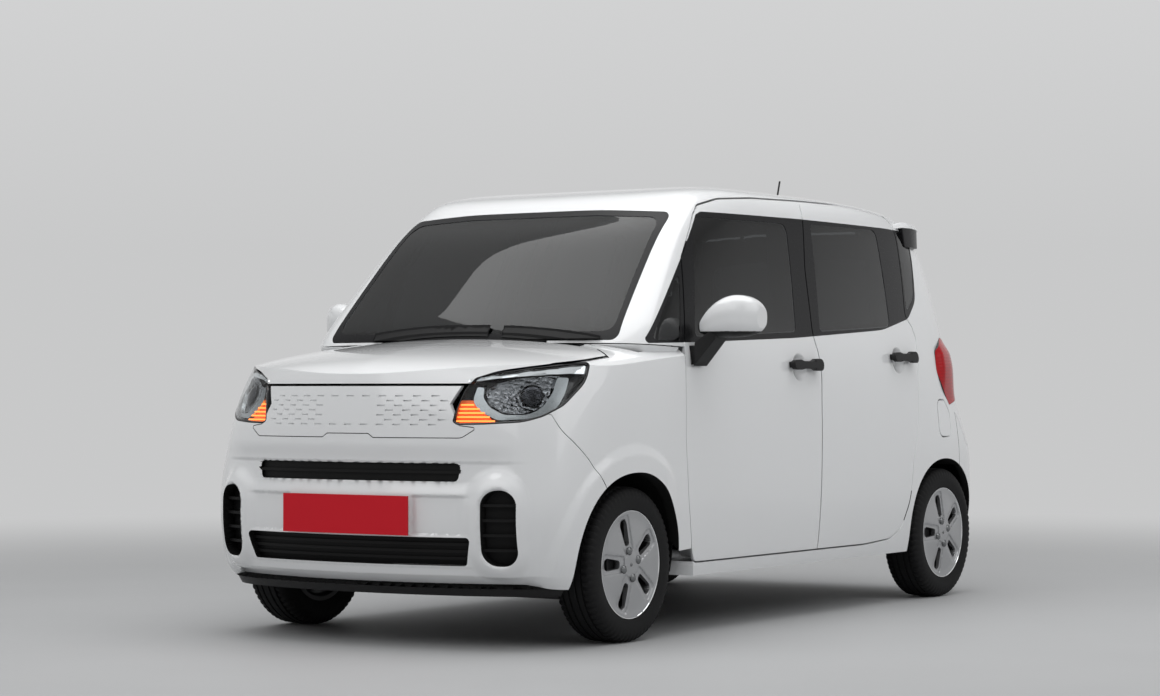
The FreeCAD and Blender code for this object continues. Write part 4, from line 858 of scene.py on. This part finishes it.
def slot_tree():
    """Repeats a slot over staggered rows and drops each one onto the panel."""
    tree = bpy.data.node_groups.new("panel slots", "GeometryNodeTree")
    face = tree.interface
    face.new_socket("Geometry", in_out="INPUT", socket_type="NodeSocketGeometry")
    sockets = {}
    for name, kind, value in (("Columns", "Int", 13), ("Rows", "Int", 7),
                              ("Pitch across", "Float", 0.0686), ("Pitch up", "Float", 0.0166),
                              ("Middle height", "Float", 0.8285), ("Blank half", "Float", 0.118),
                              ("Widest half", "Float", 0.385), ("Slot length", "Float", 0.032),
                              ("Slot height", "Float", 0.0050), ("Slot depth", "Float", 0.009),
                              ("Panel", "Object", None), ("Finish", "Material", None)):
        socket = face.new_socket(name, in_out="INPUT", socket_type="NodeSocket" + kind)
        if value is not None:
            socket.default_value = value
        sockets[name] = socket.identifier
    face.new_socket("Geometry", in_out="OUTPUT", socket_type="NodeSocketGeometry")
    given = tree.nodes.new("NodeGroupInput").outputs

    def new(kind, inputs=None, **settings):
        return add_node(tree, kind, inputs, **settings).outputs

    def calc(operation, *values):
        return new("ShaderNodeMath", dict(enumerate(values)), operation=operation)[0]

    columns, rows, pitch = given["Columns"], given["Rows"], given["Pitch across"]
    grid = new("GeometryNodeMeshGrid", {
        "Size X": calc("MULTIPLY", calc("SUBTRACT", columns, 1), pitch),
        "Size Y": calc("MULTIPLY", calc("SUBTRACT", rows, 1), given["Pitch up"]),
        "Vertices X": columns, "Vertices Y": rows})
    row = calc("FLOORED_MODULO", new("GeometryNodeInputIndex")[0], rows)
    stagger = calc("MULTIPLY", calc("FLOORED_MODULO", row, 2), calc("MULTIPLY", pitch, 0.5))
    apart = new("ShaderNodeSeparateXYZ", {0: new("GeometryNodeInputPosition")[0]})
    across = calc("ADD", apart[0], stagger)
    ahead = new("ShaderNodeCombineXYZ", {
        0: 3.0, 1: across, 2: calc("ADD", apart[1], given["Middle height"])})
    panel = new("GeometryNodeObjectInfo", {"Object": given["Panel"]})
    hit = new("GeometryNodeRaycast", {
        "Target Geometry": panel["Geometry"], "Source Position": ahead[0],
        "Ray Direction": (-1, 0, 0), "Ray Length": 5.0})
    reach = calc("ABSOLUTE", across)
    edge_row = calc("MAXIMUM", calc("COMPARE", row, 0, 0.1),
                    calc("COMPARE", row, calc("SUBTRACT", rows, 1), 0.1))
    blank = calc("MULTIPLY", calc("LESS_THAN", reach, given["Blank half"]),
                 calc("SUBTRACT", 1, edge_row))
    gone = calc("MAXIMUM", blank, calc("GREATER_THAN", reach, given["Widest half"]))
    dots = new("GeometryNodeMeshToPoints", {"Mesh": grid["Mesh"]})
    marked = new("GeometryNodeStoreNamedAttribute",
                 {"Geometry": dots[0], "Name": "gone", "Value": gone},
                 data_type="FLOAT", domain="POINT")
    laid = new("GeometryNodeSetPosition", {"Geometry": marked[0], "Position": hit["Hit Position"]})
    read = new("GeometryNodeInputNamedAttribute", {"Name": "gone"}, data_type="FLOAT")
    kept = new("GeometryNodeDeleteGeometry", {"Geometry": laid[0], "Selection": read[0]},
               domain="POINT")
    size = new("ShaderNodeCombineXYZ", {
        0: given["Slot depth"], 1: given["Slot length"], 2: given["Slot height"]})
    bar = new("GeometryNodeMeshCube", {"Size": size[0]})
    copies = new("GeometryNodeInstanceOnPoints", {"Points": kept[0], "Instance": bar["Mesh"]})
    real = new("GeometryNodeRealizeInstances", {0: copies[0]})
    coat = new("GeometryNodeSetMaterial", {"Geometry": real[0], "Material": given["Finish"]})
    add_node(tree, "NodeGroupOutput", {0: coat[0]})
    return tree, sockets


def grille_panel():
    """White panel between the lamps with its staggered slots cut in."""
    tree, sockets = slot_tree()
    holder = link("slot holder", bpy.data.meshes.new("slot holder"))
    modifier = holder.modifiers.new("slots", "NODES")
    modifier.node_group = tree
    modifier[sockets["Panel"]] = nodes["grille_panel"]
    modifier[sockets["Finish"]] = white_paint
    settle(holder)
    panel = merged_copy("grille_panel", "grille_panel_paint")
    cut(panel, holder.data.copy(), "DIFFERENCE")
    bpy.data.objects.remove(holder)
    dressed(true_normals(panel), "grille_panel", "white_paint", white_paint)


# Windows
def split_pane(node, tools, slot, glass, inward):
    """Splits a dark band into its glass, set inwards, and its black frame."""
    tool = joined_meshes("opening", tools)
    pane = cut(merged_copy(node, node + "_pane"), tool.copy(), "INTERSECT")
    rim = cut(merged_copy(node, node + "_frame"), tool, "DIFFERENCE")
    true_normals(pane)
    true_normals(rim)
    for vertex in pane.data.vertices:
        vertex.co += inward or Vector((0, -0.0018 if vertex.co.y > 0 else 0.0018, 0))
    dressed(pane, node, slot, glass)
    dressed(rim, node, "black_plastic", black_gloss)


def side_opening(outline, side):
    return drawn("window", rounded(outline), from_side(side), *SIDE_SPAN)


def windows():
    for name, side in SIDES:
        for node, outline in ("glass_front_", FRONT_GLASS), ("glass_rear_", REAR_GLASS):
            split_pane(node + name, [side_opening(outline, side)], "tinted_glass", side_glass, None)
    tools = [side_opening(outline, side)
             for outline in (TRIANGLE_GLASS, QUARTER_GLASS) for _, side in SIDES]
    split_pane("quarter_glass", tools, "tinted_glass", side_glass, None)
    screen = drawn("screen", rounded(SCREEN_GLASS), from_front, *SCREEN_SPAN)
    split_pane("windscreen", [screen], "screen_glass", screen_glass, Vector((-0.0016, 0, -0.001)))
    rear = drawn("rear window", rounded(REAR_WINDOW), from_front, *TAIL_SPAN)
    split_pane("tailgate_glass", [rear], "tinted_glass", side_glass, Vector((0.002, 0, 0)))


# Headlamps
def headlamp(name, side):
    place = slanted(side)
    find = on_skin(tree_of("headlamps"), place)
    housing = merged_copy("headlamps", "headlamp_housing_" + name)
    with opened(housing.data) as work:
        other = [vertex for vertex in work.verts if vertex.co.y * side < 0]
        bmesh.ops.delete(work, geom=other, context="VERTS")
    hollow = sheet_mesh("hollow", inset(rounded(LAMP), 5.0), find, -9.0, 62.0, 14.0)
    dressed(cut(housing, hollow, "DIFFERENCE"), "headlamps", "black_plastic", lamp_black)

    def add(piece_name, points, near, far, material, slot, step=8.0, margin=0.0):
        edge = inset(rounded(points), margin) if margin else rounded(points)
        mesh = sheet_mesh(piece_name, edge, find, near, far, step)
        shown(link(piece_name + "_" + name, mesh), "root", slot, material)

    def bowl(a, b):
        off = Vector((a, b)) - PROJECTOR_CENTRE
        reach = math.hypot(off.x / BOWL_ACROSS, off.y / BOWL_UP)
        return BOWL_NEAR + BOWL_DEEP * max(0.0, 1 - reach * reach)

    def bowl_back(a, b):
        return bowl(a, b) + 4

    def dome(a, b):
        reach = (Vector((a, b)) - PROJECTOR_CENTRE).length / PROJECTOR_RADIUS
        return DOME_NEAR + DOME_DEEP * (1 - math.sqrt(1 - min(1, reach) ** 2))

    ring = [(PROJECTOR_CENTRE.x + PROJECTOR_RADIUS * math.cos(math.pi * i / 16),
             PROJECTOR_CENTRE.y + PROJECTOR_RADIUS * math.sin(math.pi * i / 16), 0)
            for i in range(32)]
    add("headlamp_cover", LAMP, 0.4, 3.2, clear_cover, "lamp", 12.0, 5.2)
    add("headlamp_chrome_strip", TOP_STRIP, 12.0, 24.0, chrome, "steel")
    add("headlamp_silver_hook", SILVER_HOOK, 16.0, 30.0, satin_silver, "silver_cover")
    add("headlamp_reflector", REFLECTOR, bowl, bowl_back, reflector_chrome, "steel", 5.0)
    add("headlamp_projector", ring, dome, 54.0, projector_black, "steel", 3.5)
    add("headlamp_indicator_back", INDICATOR, 26.0, 32.0, amber_base, "lamp")
    ribs = []
    for i in range(5):
        low, high = 788.4 + 14 * i, 793.6 + 14 * i
        left, right = -634 + 4 * i, -500 - 18 * i
        rib = rounded([(left, low, 2), (right, low, 2), (right, high, 2), (left, high, 2)])
        ribs.append(sheet_mesh("rib", rib, find, 14.0, 27.0, 5.0))
    shown(link("headlamp_ribs_" + name, joined_meshes("ribs", ribs)), "root", "lamp", amber_glow)


# Wheels
def tyre(node, centre, side):
    """Tyre with four grooves round it and blocks across its shoulders."""
    profile = TYRE_HALF + [(r, -o) for r, o in reversed(TYRE_HALF[5:])] + TYRE_INNER
    segments = 4 * TREAD_PITCHES
    sections = []
    for i in range(segments):
        low = 5.0 if i % 4 in (1, 2) else 0.0
        blocks = [(r - low if r > 257 and 45.8 < abs(o) < 79 else r, o) for r, o in profile]
        turn = 2 * math.pi * (i + (0.0, 0.72, 1.44, 2.72)[i % 4] - i % 4) / segments
        sections.append((turn, blocks))
    mesh = turned(node + "_tread", centre, side, sections, 30)
    dressed(link(node + "_tread", mesh), node, "tyre", rubber)


def nut_cap(centre, side, radius, height, seat, segments=20):
    """A rounded cap standing on the wheel cover."""
    rings = [(1, 0), (1, 0.35)] + [(math.cos(a), 0.35 + 0.65 * math.sin(a))
                                   for a in map(math.radians, (20, 40, 60, 78))]
    points, faces = [], []
    for k, (share, rise) in enumerate(rings):
        for i in range(segments):
            points += round_axle(centre, side, 2 * math.pi * i / segments,
                                 [(radius * share, seat + height * rise)])
        if k:
            faces += band((k - 1) * segments, k * segments, segments)
    faces += [tuple(range(segments)), tuple(range(len(points) - segments, len(points)))]
    return closed_mesh("nut", points, faces, 50)


def wheel(node, centre, side):
    outer = centre.y + side * 0.0585

    def choose(face):
        return 0 if (face.calc_center_median().y - outer) * side > 0 else 1
    piece = weighted(merged_copy(node, node + "_cover", choose, 24))
    dressed(piece, node, "silver_cover", wheel_silver, brake_steel)
    nuts = [nut_cap(centre, side, 7, 5, 75.5)]
    for angle in map(math.radians, (103, 17, -76, -162)):
        away = Vector((-side * math.cos(angle), 0, math.sin(angle))) * 0.0495
        nuts.append(nut_cap(centre + away, side, 15.5, 13, 71.5))
    shown(link(node + "_nuts", joined_meshes("nuts", nuts)), node_body[node], "steel", dark_chrome)
    sections = [(2 * math.pi * i / 72, WHEEL_EDGE) for i in range(72)]
    edge = turned(node + "_edge", centre, side, sections)
    shown(link(node + "_edge", edge), node_body[node], "steel", chrome)


# Other pieces
def softened(node, name, width, material, slot, segments=3):
    """A smooth copy with its edges rounded."""
    return dressed(soft_edges(merged_copy(node, name), width, segments, 40), node, slot, material)


def mirrors():
    """White cap over a black lower shell and stalk."""
    cap_bottom, cap_inside, glass_plane = 1.112, 0.806, 0.585

    def choose(face):
        middle = face.calc_center_median()
        back = middle.x < glass_plane and face.normal.x < -0.7
        return 1 if middle.z < cap_bottom or abs(middle.y) < cap_inside or back else 0
    for name, _ in SIDES:
        node = "mirror_" + name
        piece = weighted(merged_copy(node, node + "_cap", choose, 40))
        dressed(piece, node, "white_paint", white_paint, black_plastic)


def seats():
    """Cushions that are blown up a little as cloth, over their remeshed solids."""
    for node, fill in ("front_seats", 0.7), ("rear_seat", 0.6):
        piece = merged_copy(node, node + "_cushions")
        remesh = piece.modifiers.new("skin", "REMESH")
        remesh.mode = "VOXEL"
        remesh.voxel_size = SEAT_VOXEL
        smooth = piece.modifiers.new("pull in", "SMOOTH")
        smooth.factor = 0.5
        smooth.iterations = 8
        settle(piece)
        start = [v.co - v.normal * SEAT_SHRINK for v in piece.data.vertices]
        for vertex, place in zip(piece.data.vertices, start):
            vertex.co = place
        cloth = piece.modifiers.new("cloth", "CLOTH")
        cloth.settings.use_pressure = True
        cloth.settings.uniform_pressure_force = 4.0
        cloth.settings.effector_weights.gravity = 0.0
        cloth.point_cache.frame_start = 1
        cloth.point_cache.frame_end = CLOTH_FRAMES
        for moment in range(1, CLOTH_FRAMES + 1):
            bpy.context.scene.frame_set(moment)
        settle(piece)
        bpy.context.scene.frame_set(1)
        for vertex, place in zip(piece.data.vertices, start):
            moved = vertex.co - place
            if moved.length > SEAT_SWELL:
                vertex.co = place + moved.normalized() * SEAT_SWELL
        for face in piece.data.polygons:
            face.use_smooth = True
        dressed(piece, node, "seat_fabric", seat_cloth)


def plain_nodes():
    """Nodes whose solid already has the right shape, and those only softened."""
    given = {
        "bumper_grilles": grille_black, "front_apron": black_plastic, "cowl": black_plastic,
        "underbody": underside, "wheel_liners": liner_plastic, "front_suspension": cast_metal,
        "rear_axle": cast_metal, "exhaust": steel_pipe, "engine": alloy, "knuckle_left": cast_metal,
        "knuckle_right": cast_metal, "plate_front": red_enamel, "plate_rear": white_enamel,
    }
    for node, material in given.items():
        nodes[node].data.materials.clear()
        nodes[node].data.materials.append(material)
    for end in AXLES:
        for name, _ in SIDES:
            node = "handle_" + end + "_" + name
            softened(node, node + "_grip", 0.005, black_plastic, "black_plastic", 4)
    softened("dashboard", "dashboard_skin", 0.008, soft_dash, "dash_plastic")
    blades = softened("wipers", "wiper_blades", 0.001, black_plastic, "black_plastic", 2)
    slim = blades.modifiers.new("slim", "DISPLACE")
    slim.strength = -0.003
    slim.mid_level = 0.0
    settle(blades)
    dressed(weighted(merged_copy("antenna", "antenna_rod")), "antenna", "black_plastic",
            black_plastic)
    dressed(weighted(merged_copy("steering_wheel", "steering_wheel_grip")), "steering_wheel",
            "steering_grip", grip_leather)


# Stage
def pale(level):
    return (level, level * 1.005, level * 1.01, 1)


def seen_rays(tree):
    """1 for the rays that the camera, gloss or glass sends."""
    path = add_node(tree, "ShaderNodeLightPath").outputs
    seen = path["Is Camera Ray"]
    for name in ("Is Glossy Ray", "Is Transmission Ray"):
        most = add_node(tree, "ShaderNodeMath", {0: seen, 1: path[name]}, operation="MAXIMUM")
        seen = most.outputs[0]
    return seen


def studio_floor():
    """Matt pale floor that fades into the backdrop away from the car."""
    material = bpy.data.materials.new("studio floor")
    material.use_nodes = True
    tree = material.node_tree
    place = add_node(tree, "ShaderNodeTexCoord").outputs["Object"]
    grains = add_node(tree, "ShaderNodeTexNoise", {"Vector": place, "Scale": 1.2})
    shade = add_node(tree, "ShaderNodeMix", {
        "Factor": grains.outputs["Fac"], "A": (0.40, 0.405, 0.41, 1),
        "B": (0.43, 0.435, 0.44, 1)}, data_type="RGBA")
    near = connect(tree, tree.nodes["Principled BSDF"],
                   {"Base Color": shade.outputs["Result"], "Roughness": 0.6})
    reach = add_node(tree, "ShaderNodeVectorMath", {0: place}, operation="LENGTH")
    fade = add_node(tree, "ShaderNodeMapRange", {
        "Value": reach.outputs["Value"], "From Min": 2.6, "From Max": 9.0},
        interpolation_type="SMOOTHSTEP")
    share = add_node(tree, "ShaderNodeMath", {0: fade.outputs["Result"], 1: seen_rays(tree)},
                     operation="MULTIPLY")
    far = add_node(tree, "ShaderNodeEmission", {"Color": pale(BACKDROP)})
    mix = add_node(tree, "ShaderNodeMixShader", {
        "Fac": share.outputs[0], 1: near.outputs[0], 2: far.outputs[0]})
    connect(tree, tree.nodes["Material Output"], {"Surface": mix.outputs[0]})
    return material


def studio():
    reach = 40.0
    floor = bpy.data.meshes.new("floor")
    floor.from_pydata([(-reach, -reach, 0), (reach, -reach, 0), (reach, reach, 0),
                       (-reach, reach, 0)], [], [(0, 1, 2, 3)])
    floor.materials.append(studio_floor())
    link("floor", floor)
    world = bpy.data.worlds.new("studio light")
    world.use_nodes = True
    bpy.context.scene.world = world
    tree = world.node_tree
    way = add_node(tree, "ShaderNodeTexCoord").outputs["Generated"]
    height = add_node(tree, "ShaderNodeSeparateXYZ", {0: way}).outputs["Z"]
    skies = []
    for levels in (LIGHT_SKY, SEEN_SKY):
        ramp = add_node(tree, "ShaderNodeValToRGB", {"Fac": height})
        stops = ramp.color_ramp.elements
        while len(stops) < len(levels):
            stops.new(0.5)
        for stop, (spot, level) in zip(stops, levels):
            stop.position = spot
            stop.color = pale(level)
        skies.append(add_node(tree, "ShaderNodeBackground", {"Color": ramp.outputs["Color"]}))
    mix = add_node(tree, "ShaderNodeMixShader", {
        "Fac": seen_rays(tree), 1: skies[0].outputs[0], 2: skies[1].outputs[0]})
    connect(tree, tree.nodes["World Output"], {"Surface": mix.outputs[0]})
    for name, spot, aim, width, depth, power in LAMPS:
        lamp = bpy.data.lights.new(name, "AREA")
        lamp.shape = "RECTANGLE"
        lamp.size = width
        lamp.size_y = depth
        lamp.energy = power
        holder = link(name, lamp)
        holder.location = spot
        holder.rotation_euler = (Vector(aim) - Vector(spot)).to_track_quat("-Z", "Y").to_euler()


def camera():
    """The photograph's viewpoint and lens."""
    eye = bpy.data.cameras.new("camera")
    eye.sensor_fit = "HORIZONTAL"
    eye.sensor_width = SENSOR
    eye.lens = FOCAL_LENGTH / FRAME_WIDTH * SENSOR
    holder = link("camera", eye)
    look = Vector((math.cos(PITCH) * math.cos(YAW), math.cos(PITCH) * math.sin(YAW),
                   math.sin(PITCH)))
    turn = look.to_track_quat("-Z", "Y").to_matrix().to_4x4()
    holder.matrix_world = Matrix.Translation(EYE) @ turn @ Matrix.Rotation(ROLL, 4, "Z")
    bpy.context.scene.camera = holder


camera()
body_panels()
spoiler_ends()
pillar_feet()
tail_lamps()
grille_panel()
windows()
for side_name, sign in SIDES:
    headlamp(side_name, sign)
    for axle, axle_place in AXLES.items():
        hub = Vector((axle_place, sign * WHEEL_PLANE, HUB_HEIGHT))
        tyre("tyre_" + axle + "_" + side_name, hub, sign)
        wheel("wheel_" + axle + "_" + side_name, hub, sign)
mirrors()
seats()
plain_nodes()
studio()
bpy.context.scene.view_settings.view_transform = "Standard"
